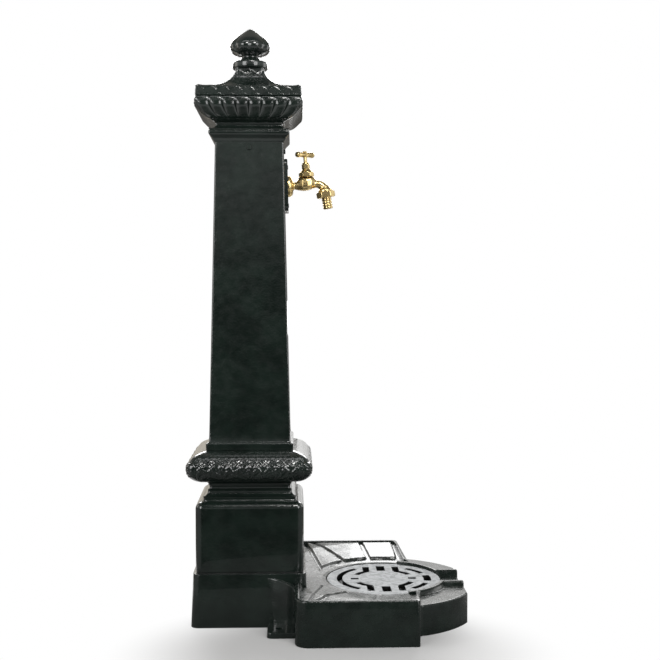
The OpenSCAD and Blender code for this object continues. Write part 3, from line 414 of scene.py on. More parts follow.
def square_moulding(profile, corner, relief=None, side_count=24, corner_count=5):
    """Rounded squares up a profile of (half width, height). On a side the point is (half, t times the
    straight half length); in a corner it turns about the corner's centre. The relief function takes the
    place across the side in mm, t, the length up the profile and the half width, and gives an offset."""
    t = np.concatenate([np.linspace(-1, 1, side_count), np.ones(corner_count)])
    turn = np.concatenate([np.zeros(side_count), np.linspace(0, np.pi / 2, corner_count + 2)[1:-1]])
    half = profile[:, :1]
    corner = np.broadcast_to(np.asarray(corner, float).reshape(-1, 1), half.shape)
    x = half - corner + corner * np.cos(turn)
    y = t * (half - corner) + corner * np.sin(turn)
    z = np.broadcast_to(profile[:, 1:], x.shape)
    if relief is not None:
        slope = np.gradient(profile, axis=0)
        slope = slope / (np.linalg.norm(slope, axis=1, keepdims=True) + TINY)
        length = run_length(profile)
        offset = relief(y, t[None, :], length[:, None], half)
        x = x + offset * slope[:, 1:] * np.cos(turn)
        y = y + offset * slope[:, 1:] * np.sin(turn)
        z = z - offset * slope[:, :1]
    quarters = [(x, y), (-y, x), (-x, -y), (y, -x)]
    return np.concatenate([np.stack([a, b, z], axis=-1) for a, b in quarters], axis=1)


print("square mouldings ready")

# %% [markdown]
# ## Gloss paint on cast iron
# The castings are sprayed with a very dark bottle green. The paint is glossy, but the sand mould leaves
# the iron slightly uneven and the spray adds a fine orange peel, so reflections break into small glints.
# Two noises of different size make that bump, and two more vary the colour and the gloss. A clear coat,
# fuller on the pillar than on the basin, gives the strong reflections at low angles.

# %% Paint


def new_finish(name):
    """A material with its shader and a wire of Object coordinates."""
    material = bpy.data.materials.new(name)
    material.use_nodes = True
    tree = material.node_tree
    place = Wire(tree).node("ShaderNodeTexCoord", {}, {}, "Object")
    return material, tree.nodes["Principled BSDF"], place


def noise(place, scale, detail=2.0, roughness=0.5):
    """Fractal noise from 0 to 1 on a place; the scale is in cells per metre."""
    sockets = {"Vector": place, "Scale": scale, "Detail": detail, "Roughness": roughness}
    return place.node("ShaderNodeTexNoise", {}, sockets, "Fac")


def bump(place, height, distance, shader):
    """Lets a height from 0 to 1, times a distance in metres, tilt the shader's normal."""
    place.node("ShaderNodeBump", {}, {"Height": height, "Distance": distance}).into(shader, "Normal")


GREEN_DEEP = (0.0050, 0.0092, 0.0072, 1)
GREEN_LIGHT = (0.0092, 0.0160, 0.0126, 1)
TINT_CELLS = 22.0
GLOSS_CELLS = 75.0
LUMP_CELLS = 48.0
PEEL_CELLS = 330.0
LUMP_SHARE = 0.72
COAT_ROUGHNESS = 0.04


def gloss_green(name, coat, rough_low, rough_high, peel):
    """Dark green paint: two greens mixed by slow noise, gloss varied by another, and a bump of casting
    unevenness plus orange peel."""
    material, shader, place = new_finish(name)
    noise(place, TINT_CELLS).smooth(0.35, 0.68).blend(GREEN_DEEP, GREEN_LIGHT).into(shader, "Base Color")
    gloss = noise(place, GLOSS_CELLS, 3.0).smooth(0.3, 0.7)
    (rough_low + (rough_high - rough_low) * gloss).into(shader, "Roughness")
    lumps = noise(place, LUMP_CELLS, 1.0)
    fine = noise(place, PEEL_CELLS)
    bump(place, lumps * LUMP_SHARE + fine * (1 - LUMP_SHARE), peel, shader)
    shader.inputs["Coat Weight"].default_value = coat
    shader.inputs["Coat Roughness"].default_value = COAT_ROUGHNESS
    return material


green_paint = gloss_green("gloss_green_paint", 0.85, 0.16, 0.27, 0.0011)
basin_paint = gloss_green("gloss_green_basin", 0.35, 0.2, 0.34, 0.0012)
screw_paint = gloss_green("painted_screw", 0.25, 0.28, 0.45, 0.0004)
print("paint:", green_paint.name, basin_paint.name, screw_paint.name)

# %% [markdown]
# ## The pedestal and the shaft
# The column is one casting. It is dressed here as three surfaces that meet on hidden lines: a pedestal
# with a rounded shoulder, the leafy torus, and the plain tapered shaft on its plinth. All three come from
# the same square rings.

# %% Pedestal
PEDESTAL_FOOT = 98.5
PEDESTAL_HALF = 98.5
SHOULDER_FOOT = 214.0
SHOULDER_ROUND = 13.0
STEP_HALF = 84.3
CAVETTO = (85.4, 244.5)
TORUS_FOOT = 253.0
COVE_HALF = 74.0


def casting(name, node, finish, *grids, **closing):
    """A painted piece of the stand that is laid over one of its castings."""
    dress(piece(name, *grids, **closing), "stand", "cast_paint", finish, node)


pedestal_profile = np.concatenate([
    [(PEDESTAL_HALF - 2, PEDESTAL_FOOT), (PEDESTAL_HALF - 0.5, PEDESTAL_FOOT + 0.5)],
    [(PEDESTAL_HALF, PEDESTAL_FOOT + 2)],
    np.linspace((PEDESTAL_HALF, 108), (PEDESTAL_HALF, SHOULDER_FOOT - 4), 12),
    quarter(PEDESTAL_HALF - SHOULDER_ROUND, SHOULDER_FOOT, SHOULDER_ROUND, SHOULDER_ROUND, 0, 90, 12),
    eased([(84.9, 228.6), (STEP_HALF, 229.4), (STEP_HALF, 234.2), (CAVETTO[0], 235.5)], 0.8),
    quarter(*CAVETTO, 8.55, 9, 270, 180, 9),
    [(76.85, 247), (74.6, 248), (COVE_HALF, 249.5), (COVE_HALF, TORUS_FOOT + 1)],
])
pedestal_corner = np.interp(pedestal_profile[:, 1], [SHOULDER_FOOT, 227, 230], [14, 9, 4])
pedestal_grid = square_moulding(pedestal_profile, pedestal_corner, corner_count=9)
casting("pedestal", "column_casting", green_paint, pedestal_grid)

# %% Shaft
PLINTH_FOOT = 318.5
PLINTH_HALF = 80.0
SHAFT_FOOT = 333.5
SHAFT_HALF = 74.3
SHAFT_TOP = 880.5
SHAFT_TOP_HALF = 62.4
SHAFT_CORNER = 2.6

plinth_edge = eased([
    (COVE_HALF, PLINTH_FOOT - 2), (PLINTH_HALF - 0.6, PLINTH_FOOT), (PLINTH_HALF, SHAFT_FOOT - 2.2),
    (SHAFT_HALF + 0.5, SHAFT_FOOT + 0.3), (SHAFT_HALF - 0.3, SHAFT_FOOT + 14),
], 1.4)
shaft_line = np.linspace((SHAFT_HALF - 0.5, SHAFT_FOOT + 24), (SHAFT_TOP_HALF, SHAFT_TOP), 40)
shaft_grid = square_moulding(np.concatenate([plinth_edge, shaft_line]), SHAFT_CORNER)
casting("shaft", "column_casting", green_paint, shaft_grid)

# %% [markdown]
# ## The leafy torus
# Between pedestal and plinth sits a full moulding covered with cast leaves. Fans stand along its fullest
# part: one in the middle of each side, one half way to each corner and one wrapped round each corner, all
# under round arches, with fine ribs on the slope above. Sculpting would work, but the leaves repeat, so a
# formula is shorter: inside each pitch the place is turned into polar form about the foot of the leaf, ribs
# follow the angle and the arch follows the radius.

# %% Torus
TORUS_HALF = 114.0
BELLY = 292.3
UNDER_HEIGHT = 30.1
UNDER_POWER = 2.3
OVER_POWER = 1.6
FANS = 4
FAN_DEPTH = 1.7
FAN_SINK = 1.2
FAN_SPREAD = 1.25
LEAF_FOOT = 45.0
LEAF_HEIGHT = 46.0
LEAF_BAND = (34, 48, 70, 86)
RIB_BAND = (72, 84, 90, 96)
RIBS = 11
VEINS = 14
ARCH = 0.56
ARCH_WIDTH = 0.055
BUD_WIDTH = 0.13


def leaf_relief(across, t, length, half):
    """Offset in mm of the leaves. With f the place inside one fan and w the height up the leaf band, the
    angle is that of (f, w) about the fan's foot and the radius its length. Ribs are cosines of the angle,
    fading outwards; the arch is a bump at one radius; buds are bell curves half way between the fans; small
    crossed sines break up the rest. On the slope above, the ribs are cosines of the place along the side."""
    pitch = np.clip(t, -1, 1) / 2 * FANS
    f = pitch - np.round(pitch)
    w = (length - LEAF_FOOT) / LEAF_HEIGHT
    angle = np.arctan2(f * FAN_SPREAD, w + 0.22)
    radius = np.hypot(f * FAN_SPREAD, w)
    ribs = 0.5 + 0.5 * np.cos(RIBS * angle)
    veins = 0.5 + 0.5 * np.cos(VEINS * radius * np.pi + 3 * np.abs(angle))
    inside = rise(ARCH + 0.02 - radius, 0.0, 0.1) * rise(w, -0.35, 0.0)
    arch = np.exp(-(((radius - ARCH) / ARCH_WIDTH) ** 2)) * rise(w, -0.2, 0.05)
    fan = inside * (0.3 + 0.75 * ribs * (1 - 0.6 * radius) + 0.3 * veins * ribs)
    from_bud = np.abs(np.abs(f) - 0.5)
    bud = np.exp(-((from_bud / BUD_WIDTH) ** 2)) * (0.55 + 0.45 * np.cos(9 * np.pi * w)) * rise(w, -0.2, 0.1)
    crumbs = np.sin(across * 0.9) * np.sin(length * 0.83)
    crumbs = crumbs + np.sin(across * 0.53 + 1.3) * np.sin(length * 1.1)
    leaves = fan + 0.75 * arch + 0.6 * bud * (1 - inside) + 0.16 * crumbs
    upper = 0.5 + 0.5 * np.cos(2 * np.pi * pitch * 3)
    ribbed = hump(length, *RIB_BAND) * (0.25 * upper + 0.04 * crumbs)
    return hump(length, *LEAF_BAND) * (FAN_DEPTH * leaves - FAN_SINK) + ribbed


torus_outline = np.concatenate([
    [(COVE_HALF, TORUS_FOOT), (76, 258)],
    quarter(PLINTH_HALF, BELLY, TORUS_HALF - PLINTH_HALF, UNDER_HEIGHT, -90, 0, 20, UNDER_POWER),
    quarter(PLINTH_HALF, BELLY, TORUS_HALF - PLINTH_HALF, PLINTH_FOOT - BELLY, 0, 90, 20, OVER_POWER)[1:],
])
torus_profile = spaced(torus_outline, 0.95)
torus_corner = np.interp(torus_profile[:, 0], [COVE_HALF, TORUS_HALF], [3, 13])
torus_grid = square_moulding(torus_profile, torus_corner, leaf_relief, side_count=176, corner_count=14)
casting("leaf_torus", "column_casting", green_paint, torus_grid)

# %% [markdown]
# ## The capital
# Above the shaft come a plain band and neck, a swelling ring of lobes, and a concave roof. The lobes are
# gadroons, eight to a side, broad above and narrowing to the neck. The roof and the upright edge below it
# carry overlapping fish scales in staggered rows, with a plain bead along each hip.

# %% Band and neck
BAND_HALF = 73.5
NECK_HALF = 61.2
NECK_EDGE = 73.2
OVOLO_FOOT = 921.5
OVOLO_HALF = 98.3
OVOLO_BELLY = 951.1
FASCIA_FOOT = 959.5
FASCIA_HALF = 94.0
ROOF_FOOT = 978.5
ROOF_TOP = 1023.0
ROOF_TOP_HALF = 25.0

band_profile = np.concatenate([
    [(SHAFT_TOP_HALF - 0.5, SHAFT_TOP - 1.5)],
    eased([
        (SHAFT_TOP_HALF, SHAFT_TOP), (64.6, 883.4), (66.8, 887.7), (72.3, 893.4), (BAND_HALF, 896),
        (BAND_HALF, 900.4), (71.5, 902.6), (NECK_EDGE, 904.5),
    ], 2.4),
    quarter(NECK_EDGE, 912.15, 12, 7.65, 270, 180, 9),
    [(NECK_HALF, 914.7), (64.2, 918.6), (70, 920.5)],
])
band_grid = square_moulding(band_profile, SHAFT_CORNER)
casting("band_and_neck", "capital_casting", green_paint, band_grid)

# %% Gadroons
LOBES = 8
LOBE_DEPTH = 3.2
LOBE_HEAD = 1.6
LOBE_HEAD_AT = 42.0
LOBE_SWELL = (4, 36)
LOBE_END = (48, 54)


def lobe_relief(across, t, length, half):
    """Offset in mm of the gadroons: each side is cut into equal lobes, the section of a lobe is the root
    of a sine, and the depth grows from the neck to the belly. A bell curve along the length swells the
    head of each lobe."""
    phase = (np.clip(t, -1, 1) + 1) / 2 * LOBES
    section = np.sqrt(np.abs(np.sin(np.pi * phase)))
    depth = LOBE_DEPTH * rise(length, *LOBE_SWELL) * (1 - 0.6 * rise(length, *LOBE_END))
    head = LOBE_HEAD * section * np.exp(-(((length - LOBE_HEAD_AT) / 6) ** 2))
    return depth * (section - 1) + head


ovolo_outline = np.concatenate([
    [(NECK_HALF + 2, 917.5), (70, 920.3)],
    quarter(NECK_EDGE, OVOLO_BELLY, OVOLO_HALF - NECK_EDGE, OVOLO_BELLY - OVOLO_FOOT, -90, 0, 24, 1.5),
    eased([(OVOLO_HALF, OVOLO_BELLY + 0.5), (97.9, 955.7), (96, 959), (92, FASCIA_FOOT + 0.6)], 1.5)[1:],
])
ovolo_grid = square_moulding(spaced(ovolo_outline, 1.0), 3.0, lobe_relief, side_count=161)
casting("gadroon_ring", "capital_casting", green_paint, ovolo_grid)

# %% Scaled roof
SCALE_WIDTH = 22.5
SCALE_ROW = 11.0
SCALE_DEPTH = 1.5
SCALE_CURVE = 0.7
SCALE_THIN = 0.7
SCALE_MEAN = 0.7
SCALE_BLEND = 0.07
HIP_BEAD = 4.0
HIP_RISE = 1.1


def scale_edge(place):
    """Height, in rows, of a scale's round upper edge at a place counted in scales."""
    f = 2 * (place - np.floor(place)) - 1
    return SCALE_CURVE * np.sqrt(np.clip(1 - f * f, 0, 1))


def scale_relief(across, t, length, half):
    """Offset in mm of fish scales with round upper edges. A point above the edge of its own scale belongs
    to the row above, which is shifted by half a scale. A scale is thickest at its edge and thins towards
    its foot, and the two rows are blended over a short way. Near the hips the scales give way to a bead."""
    row = np.floor(length / SCALE_ROW)
    high = length / SCALE_ROW - row
    column = across / SCALE_WIDTH + 0.5 * np.mod(row, 2)
    edge = scale_edge(column)
    own = 1 - SCALE_THIN * (edge - high)
    upper = 1 - SCALE_THIN * (scale_edge(column + 0.5) + 1 - high)
    share = rise(high - edge, -SCALE_BLEND, SCALE_BLEND)
    scales = own * (1 - share) + upper * share
    from_hip = half - np.abs(across)
    plain = rise(from_hip, HIP_BEAD, HIP_BEAD + 1.5)
    from_ridge = (from_hip - 0.4 * HIP_BEAD) / (0.6 * HIP_BEAD)
    bead = HIP_RISE * np.sqrt(np.clip(1 - from_ridge**2, 0, 1))
    depth = SCALE_DEPTH * (0.28 + 0.72 * rise(length, 16, 26))
    return depth * (scales - SCALE_MEAN) * plain + bead * (1 - plain) * rise(length, 18, 24)


roof_curve = quarter(
    FASCIA_HALF, ROOF_TOP, FASCIA_HALF - ROOF_TOP_HALF, ROOF_TOP - ROOF_FOOT, 270, 180, 40)
roof_outline = np.concatenate([
    [(92, FASCIA_FOOT - 0.6), (95.6, FASCIA_FOOT + 0.6), (FASCIA_HALF + 0.4, ROOF_FOOT - 1.5)],
    roof_curve[1:],
])
roof_grid = square_moulding(spaced(roof_outline, 0.9), 1.5, scale_relief, side_count=150, corner_count=3)
casting("scaled_roof", "capital_casting", green_paint, roof_grid)

# %% [markdown]
# ## The finial
# A ring, a short neck and an onion-shaped bulb with eight lobes finish the top. A turned shape would do
# for the ring; for the bulb the radius is also a function of the angle, drawn in along eight creases.

# %% Finial
RING_RADIUS = 33.5
BULB_RADIUS = 39.5
BULB_FOOT = 1047.5
BULB_HEIGHT = 52.0
CREASES = 8
CREASE_DEPTH = 0.07
FINIAL_COLUMNS = 192

bulb_shape = np.array([
    (0.6, 0.04), (0.83, 0.11), (0.95, 0.2), (1, 0.31), (0.99, 0.38), (0.94, 0.46), (0.78, 0.6), (0.53, 0.75),
    (0.28, 0.89), (0.15, 0.96), (0.07, 0.99), (0.012, 1.0),
])
ring_shape = eased([
    (24, ROOF_TOP - 0.5), (RING_RADIUS, ROOF_TOP + 1), (RING_RADIUS, ROOF_TOP + 14), (23, ROOF_TOP + 14),
    (20.5, ROOF_TOP + 15.5), (19.5, ROOF_TOP + 18.5), (17, ROOF_TOP + 20.5), (16.5, BULB_FOOT - 1),
    (18, BULB_FOOT + 0.8),
], 4.2, 7)
bulb_line = eased(bulb_shape * (BULB_RADIUS, BULB_HEIGHT) + (0, BULB_FOOT), 3.5, 5)
finial_profile = spaced(np.concatenate([ring_shape, bulb_line]), 1.1)


def full_turn(count):
    """Even angles once round, the last one a step short of the first."""
    return np.linspace(0, 2 * np.pi, count, endpoint=False)


def lathe(profile, count=96, limit=np.inf):
    """A profile of (radius, height) turned about Z: each row is a circle of that radius, or of the limit
    where that is less."""
    angle = full_turn(count)
    radius = np.minimum(profile[:, :1], limit)
    height = np.broadcast_to(profile[:, 1:], (len(profile), count))
    return np.stack([radius * np.cos(angle), radius * np.sin(angle), height], axis=-1)


finial_grid = lathe(finial_profile, FINIAL_COLUMNS)
crease = 1 - np.abs(np.sin(CREASES / 2 * full_turn(FINIAL_COLUMNS))) ** 0.8
up_bulb = finial_profile[:, 1:] - BULB_FOOT
share = CREASE_DEPTH * rise(up_bulb, 1, 9) * (1 - 0.6 * rise(up_bulb, 42, 52))
finial_grid[:, :, :2] *= (1 - share * crease)[:, :, None]
casting("lobed_finial", "finial", green_paint, finial_grid)

# %% [markdown]
# ## The base
# The base is one casting: a square box under the pillar, a wide basin in front of it whose floor slopes
# to the grate between raised pads, a low round front with an overflow channel, and two ears for ground
# anchors. Each part is a grid that runs over the top, down the outside and up the hollow inside, so the
# casting stays a shell as it is on the real object.

# %% Ground box
BOX_HALF = 106.5
BOX_TOP_HALF = 102.5
BOX_TOP = 97.0
BOX_CORNER = 14.0
BASE_WALL = 7.5

box_inner = BOX_TOP_HALF - BASE_WALL
box_ceiling = BOX_TOP - BASE_WALL
box_profile = eased([
    (box_inner - 1, box_ceiling), (box_inner, box_ceiling - 1), (box_inner, 0), (BOX_HALF, 0),
    (BOX_TOP_HALF + 0.2, BOX_TOP), (BOX_TOP_HALF - 12, BOX_TOP),
], 0.8, 6)
box_grid = square_moulding(box_profile, BOX_CORNER, corner_count=10)
casting("ground_box", "base_casting", green_paint, box_grid)

# %% Sump bowl
GRATE_X = 252.0
LIP_RADIUS = 117.5
LIP_HEIGHT = 64.5
LIP_BACK = 37.0
TRAY_LOW = 59.5
RECESS_RADIUS = 110.0
SEAT_HEIGHT = 50.0
SEAT_INNER = 99.0
SUMP_RADIUS = 60.0
SUMP_FLOOR = 30.0
SUMP_UNDER = 22.5
DRAIN_INNER = 21.0
DRAIN_OUTER = 25.0
DRAIN_END = 3.0
CHANNEL_HALF = 35.0
CHANNEL_FLOOR = 51.0

bowl_profile = eased([
    (LIP_RADIUS, 52), (LIP_RADIUS, LIP_HEIGHT), (RECESS_RADIUS, LIP_HEIGHT), (RECESS_RADIUS, SEAT_HEIGHT),
    (SEAT_INNER, SEAT_HEIGHT), (SUMP_RADIUS, SUMP_FLOOR), (DRAIN_INNER, SUMP_FLOOR),
    (DRAIN_INNER, DRAIN_END), (DRAIN_OUTER, DRAIN_END), (DRAIN_OUTER, SUMP_UNDER), (LIP_RADIUS, SUMP_UNDER),
    (LIP_RADIUS, 51),
], 2.0, 5)
bowl_grid = lathe(bowl_profile, count=720)
in_channel = (np.abs(bowl_grid[:, :, 1]) < CHANNEL_HALF) & (bowl_grid[:, :, 0] > 0)
under_tray = bowl_grid[:, :, 0] < LIP_BACK
for cut, floor_level in ((in_channel, CHANNEL_FLOOR), (under_tray, TRAY_LOW)):
    bowl_grid[cut, 2] = np.minimum(bowl_grid[cut, 2], floor_level)
bowl_grid[:, :, 0] += GRATE_X
casting("sump_bowl", "base_casting", basin_paint, bowl_grid, loop=True)

# %% Basin outline
BASIN_BACK = 82.0
BASIN_FRONT = 297.0
BASIN_HALF = 220.0
BASIN_CORNER = 24.0
RIM = 8.0
TRAY_INNER = LIP_RADIUS - 0.5


def ray_to_box(angle, west, east, south, north, west_corners, east_corners):
    """Distance from the origin along each angle to a rectangle with rounded corners, from the distance of
    each side and the radii of the south and north corners at both ends. A ray meets the nearer of the two
    sides that it runs towards or, where that point lies in a corner, the corner's circle."""
    c = np.abs(np.cos(angle))
    s = np.abs(np.sin(angle))
    eastward = np.cos(angle) > 0
    northward = np.sin(angle) > 0
    wall_x = np.where(eastward, east, west)
    wall_y = np.where(northward, north, south)
    reach = np.minimum(wall_x / np.maximum(c, TINY), wall_y / np.maximum(s, TINY))
    corners = np.where(eastward, np.transpose([east_corners]), np.transpose([west_corners]))
    r = np.where(northward, corners[1], corners[0])
    cx = wall_x - r
    cy = wall_y - r
    along = cx * c + cy * s
    inside = np.maximum(along**2 - cx**2 - cy**2 + r**2, 0)
    in_corner = (reach * c > cx) & (reach * s > cy) & (r > 0)
    return np.where(in_corner, along + np.sqrt(inside), reach)


ahead = BASIN_FRONT - GRATE_X
behind = GRATE_X - BASIN_BACK
first_angle = np.arccos(ahead / TRAY_INNER)
basin_angle = np.linspace(first_angle, 2 * np.pi - first_angle, 660)


def basin_reach(inset, front_corner):
    """Reach from the grate's centre to the basin's outline, moved in by an inset but not inside the lip."""
    half = BASIN_HALF - inset
    corners = ((BASIN_CORNER - inset,) * 2, (front_corner,) * 2)
    reach = ray_to_box(basin_angle, behind - inset, ahead - inset, half, half, *corners)
    return np.maximum(reach, TRAY_INNER)


wall_reach = basin_reach(0, 4.0)
rim_reach = basin_reach(RIM, 3.0)
cave_reach = basin_reach(BASE_WALL, 1.0)
lip_reach = np.full_like(basin_angle, TRAY_INNER)
print("basin outline:", len(basin_angle), "rays")

# %% Basin floor
BASIN_TOP = 81.0
TRAY_RISE = 15.0
TRAY_KNEE = 207.0
PAD_HEIGHT = 4.5
PAD_RING = 132.0
VALLEY_ANGLES = (32.5, 8.5)
VALLEY_HALF = 4.2
APRON_ANGLE = 28.0
APRON_GROOVE = 3.0
RIM_GROOVE = 5.5


def tray_height(x, y):
    """Height of the basin's floor at a place from the grate's centre: a cone that rises outwards, plus
    pads that are cut by radial valleys, by the plain apron before the pillar and by a groove at the rim,
    less a groove along the apron's edge."""
    radius = np.hypot(x, y)
    floor = TRAY_LOW + TRAY_RISE * np.clip((radius - LIP_RADIUS) / (TRAY_KNEE - LIP_RADIUS), 0, 1)
    pad = rise(radius, PAD_RING, PAD_RING + 2.5)
    for degrees in VALLEY_ANGLES:
        lean = np.radians(degrees)
        off = np.abs(x * np.cos(lean) + np.abs(y) * np.sin(lean))
        pad = pad * rise(off, VALLEY_HALF - 1.4, VALLEY_HALF + 1.4)
    inner_x = -PAD_RING * np.cos(np.radians(APRON_ANGLE))
    inner_y = PAD_RING * np.sin(np.radians(APRON_ANGLE))
    outer_x = 3 * RIM - behind
    outer_y = BASIN_HALF - RIM + 1
    edge_x = inner_x + (outer_x - inner_x) * np.clip((np.abs(y) - inner_y) / (outer_y - inner_y), 0, 1)
    pad = pad * rise(x - edge_x, -1.0, 2.5)
    groove = rise(radius, PAD_RING - 3, PAD_RING) * (1 - rise(np.abs(x - edge_x + 2), 1.2, 4))
    side_gap = np.minimum(ahead - RIM - x, BASIN_HALF - RIM - np.abs(y))
    gap = np.minimum(side_gap, x + behind - RIM)
    pad = pad * rise(gap, RIM_GROOVE - 1.5, RIM_GROOVE + 1)
    return np.minimum(floor + PAD_HEIGHT * pad - APRON_GROOVE * groove, BASIN_TOP - 0.6)


tray_share = np.linspace(0, 1, 84)[:, None]
tray_radius = TRAY_INNER + tray_share * (rim_reach - TRAY_INNER)
tray_z = tray_height(tray_radius * np.cos(basin_angle), tray_radius * np.sin(basin_angle))
print("basin floor:", tray_z.min().round(1), "to", tray_z.max().round(1), "mm high")

# %% Basin shell
FLARE = 14.0

edge_share = np.array([0.02, 0.12, 0.32, 0.62, 0.84, 0.96, 1.0])[:, None]
edge_drop = np.array([1.2, 0.35, 0.0, 0.0, 0.5, 1.6, 3.4])[:, None]
rim_radius = rim_reach + edge_share * (wall_reach - rim_reach)
dip_half = np.sqrt(LIP_RADIUS**2 - ahead**2)
wall_y = np.abs(wall_reach * np.sin(basin_angle))
dipped = np.interp(wall_y, [dip_half, BASIN_HALF - RIM], [LIP_HEIGHT, BASIN_TOP])
rim_top = np.where(wall_reach * np.cos(basin_angle) > ahead - RIM, dipped, BASIN_TOP)
rim_z = rim_top - edge_drop
wall_radius = np.stack([wall_reach, wall_reach, cave_reach, cave_reach, lip_reach - 2, lip_reach - 2])
wall_level = np.array([40.0, 0.0, 0.0, TRAY_LOW - BASE_WALL, TRAY_LOW - BASE_WALL, TRAY_LOW - 3])
wall_z = np.broadcast_to(wall_level[:, None], wall_radius.shape)
basin_radius = np.concatenate([tray_radius, rim_radius, wall_radius])
basin_z = np.concatenate([tray_z, rim_z, wall_z])
basin_x = basin_radius * np.cos(basin_angle)
basin_y = basin_radius * np.sin(basin_angle)
outward = np.concatenate([tray_share, np.ones((len(basin_radius) - len(tray_share), 1))])
near_lobe = np.clip((BASIN_HALF - np.abs(basin_y)) / (BASIN_HALF - dip_half), 0, 1)
basin_x = basin_x + FLARE * outward * near_lobe * np.clip(basin_x / (ahead - RIM), 0, 1)
basin_grid = np.stack([GRATE_X + basin_x, basin_y, basin_z], axis=-1)
casting("catch_basin", "base_casting", basin_paint, basin_grid[::-1], ring=False, loop=True)

# %% Front lobe
LOBE_RADIUS = 172.0
FRONT_X = 400.0
LEDGE = 55.0
LOBE_WALL_X = 290.0
FILLET = 7.0
EDGE_FALL = np.array([0.0, 0.25, 0.85, 1.8, 3.0])[:, None]
LOBE_LEVELS = np.array([24.0, 0, 0, 43, 43, 46])[:, None]


def arc_x(radius, y):
    """X of a circle about the grate at a place across it, and of its centre to either side."""
    return GRATE_X + np.sqrt(np.maximum(radius**2 - y**2, 0))


lobe_half = np.sqrt(LOBE_RADIUS**2 - (LOBE_WALL_X - GRATE_X) ** 2)
wide = lobe_half * np.sin(np.linspace(np.pi / 2, np.arcsin(46 / lobe_half), 90))
steps = np.array([44.6, 43.4, 42.7, 42.4, 41.8, 40.6, 38.8, 37, 36, 35.3, 35, 34.6, 33.6, 32, 28, 20, 10])
lobe_y = np.concatenate([-wide, -steps, [0], steps[::-1], wide[::-1]])
lip_line = np.interp(
    np.abs(lobe_y), [34.6, 35.6, 36.6, 41, 42.4, 43.4, 45.5],
    [CHANNEL_FLOOR, LIP_HEIGHT - 1.2, LIP_HEIGHT, LIP_HEIGHT, LIP_HEIGHT - 1.6, LEDGE + 1.2, LEDGE])
lobe_in = np.maximum(arc_x(TRAY_INNER, lobe_y), LOBE_WALL_X)
lobe_out = np.maximum(np.minimum(FRONT_X, arc_x(LOBE_RADIUS, lobe_y)), lobe_in)
facing = np.where(lobe_out < FRONT_X - 0.1, (lobe_out - GRATE_X) / LOBE_RADIUS, 1.0)
ledge_share = np.linspace(0, 1, 24)[:, None] ** 1.7
round_x = np.maximum(lobe_out - EDGE_FALL[::-1] / facing, lobe_in)
top_x = lobe_in + ledge_share * (round_x[0] - lobe_in)
wall_back = np.maximum(lobe_out - BASE_WALL / facing, lobe_in)
shell_x = [lobe_out, lobe_out, wall_back, wall_back, lobe_in - 2, lobe_in - 2]
lobe_x = np.concatenate([top_x, round_x[1:], shell_x])
hollow = np.clip(1 - (top_x - lobe_in) / FILLET, 0, 1) ** 2 * rise(np.abs(lobe_y), 44, 50)
shell_z = np.broadcast_to(LOBE_LEVELS, (len(LOBE_LEVELS), len(lobe_y)))
lobe_z = np.concatenate([lip_line + FILLET * hollow, (lip_line - EDGE_FALL)[1:], shell_z])
lobe_grid = np.stack([lobe_x, np.broadcast_to(lobe_y, lobe_x.shape), lobe_z], axis=-1)
casting("front_lobe", "base_casting", basin_paint, lobe_grid[::-1], ring=False, loop=True, ends=False)

# %% Coves and ears
COVE_RADIUS = 58.0
COVE_TOPS = (92.0, 78.0)
FRONT_COVE = 15.0
COVE_COLUMNS = 28
EAR_THICK = 10.0
ANCHOR = (54.0, 142.0)
ANCHOR_RADIUS = 6.0
EAR_BACK = 33.0
EAR_CORNER = 8.0
EAR_REACH = 168.0


def cove_grid(centre, radius, first, last, top, side):
    """A hollow round between two walls: rows run up the hollow face, over the top and back down behind
    it, and columns follow an arc about the centre, along which the top goes from one height to another.
    Behind is further from the centre."""
    angle = np.radians(np.linspace(first, last, COVE_COLUMNS))
    reach = radius + np.array([0, 0, 0.25, 0.9, 2.0, 7, 7])[:, None]
    top = np.linspace(*top, COVE_COLUMNS)
    height = np.stack([0 * top, top - 2, top - 0.9, top - 0.25, top, top, 0 * top])
    x = centre[0] + reach * np.cos(angle)
    y = centre[1] + reach * np.sin(angle)
    grid = np.stack([x, side * y, height], axis=-1)
    return grid[:, ::-1] if side > 0 else grid


def ear_grid(side):
    """A flat ear with an anchor hole: rows run up the hole, across the top, down the outline and back
    underneath, and columns turn about the hole. The outline is a rectangle with a rounded outer corner."""
    angle = full_turn(count=160)
    east = BASIN_BACK + 3 - ANCHOR[0]
    south = ANCHOR[1] - BOX_TOP_HALF + 3
    sides = (ANCHOR[0] - EAR_BACK, east, south, EAR_REACH - ANCHOR[1])
    reach = ray_to_box(angle, *sides, (0, EAR_CORNER), (0, 0))
    hole = np.full_like(reach, ANCHOR_RADIUS)
    radius = np.stack([hole, hole, hole + 0.8, reach - 2, reach - 0.6, reach, reach])
    height = EAR_THICK - np.array([EAR_THICK, 0.8, 0, 0, 0.6, 2, EAR_THICK])[:, None]
    height = np.broadcast_to(height, radius.shape)
    x = ANCHOR[0] + radius * np.cos(angle)
    y = ANCHOR[1] + radius * np.sin(angle)
    grid = np.stack([x, side * y, height], axis=-1)
    return grid[::-1] if side > 0 else grid


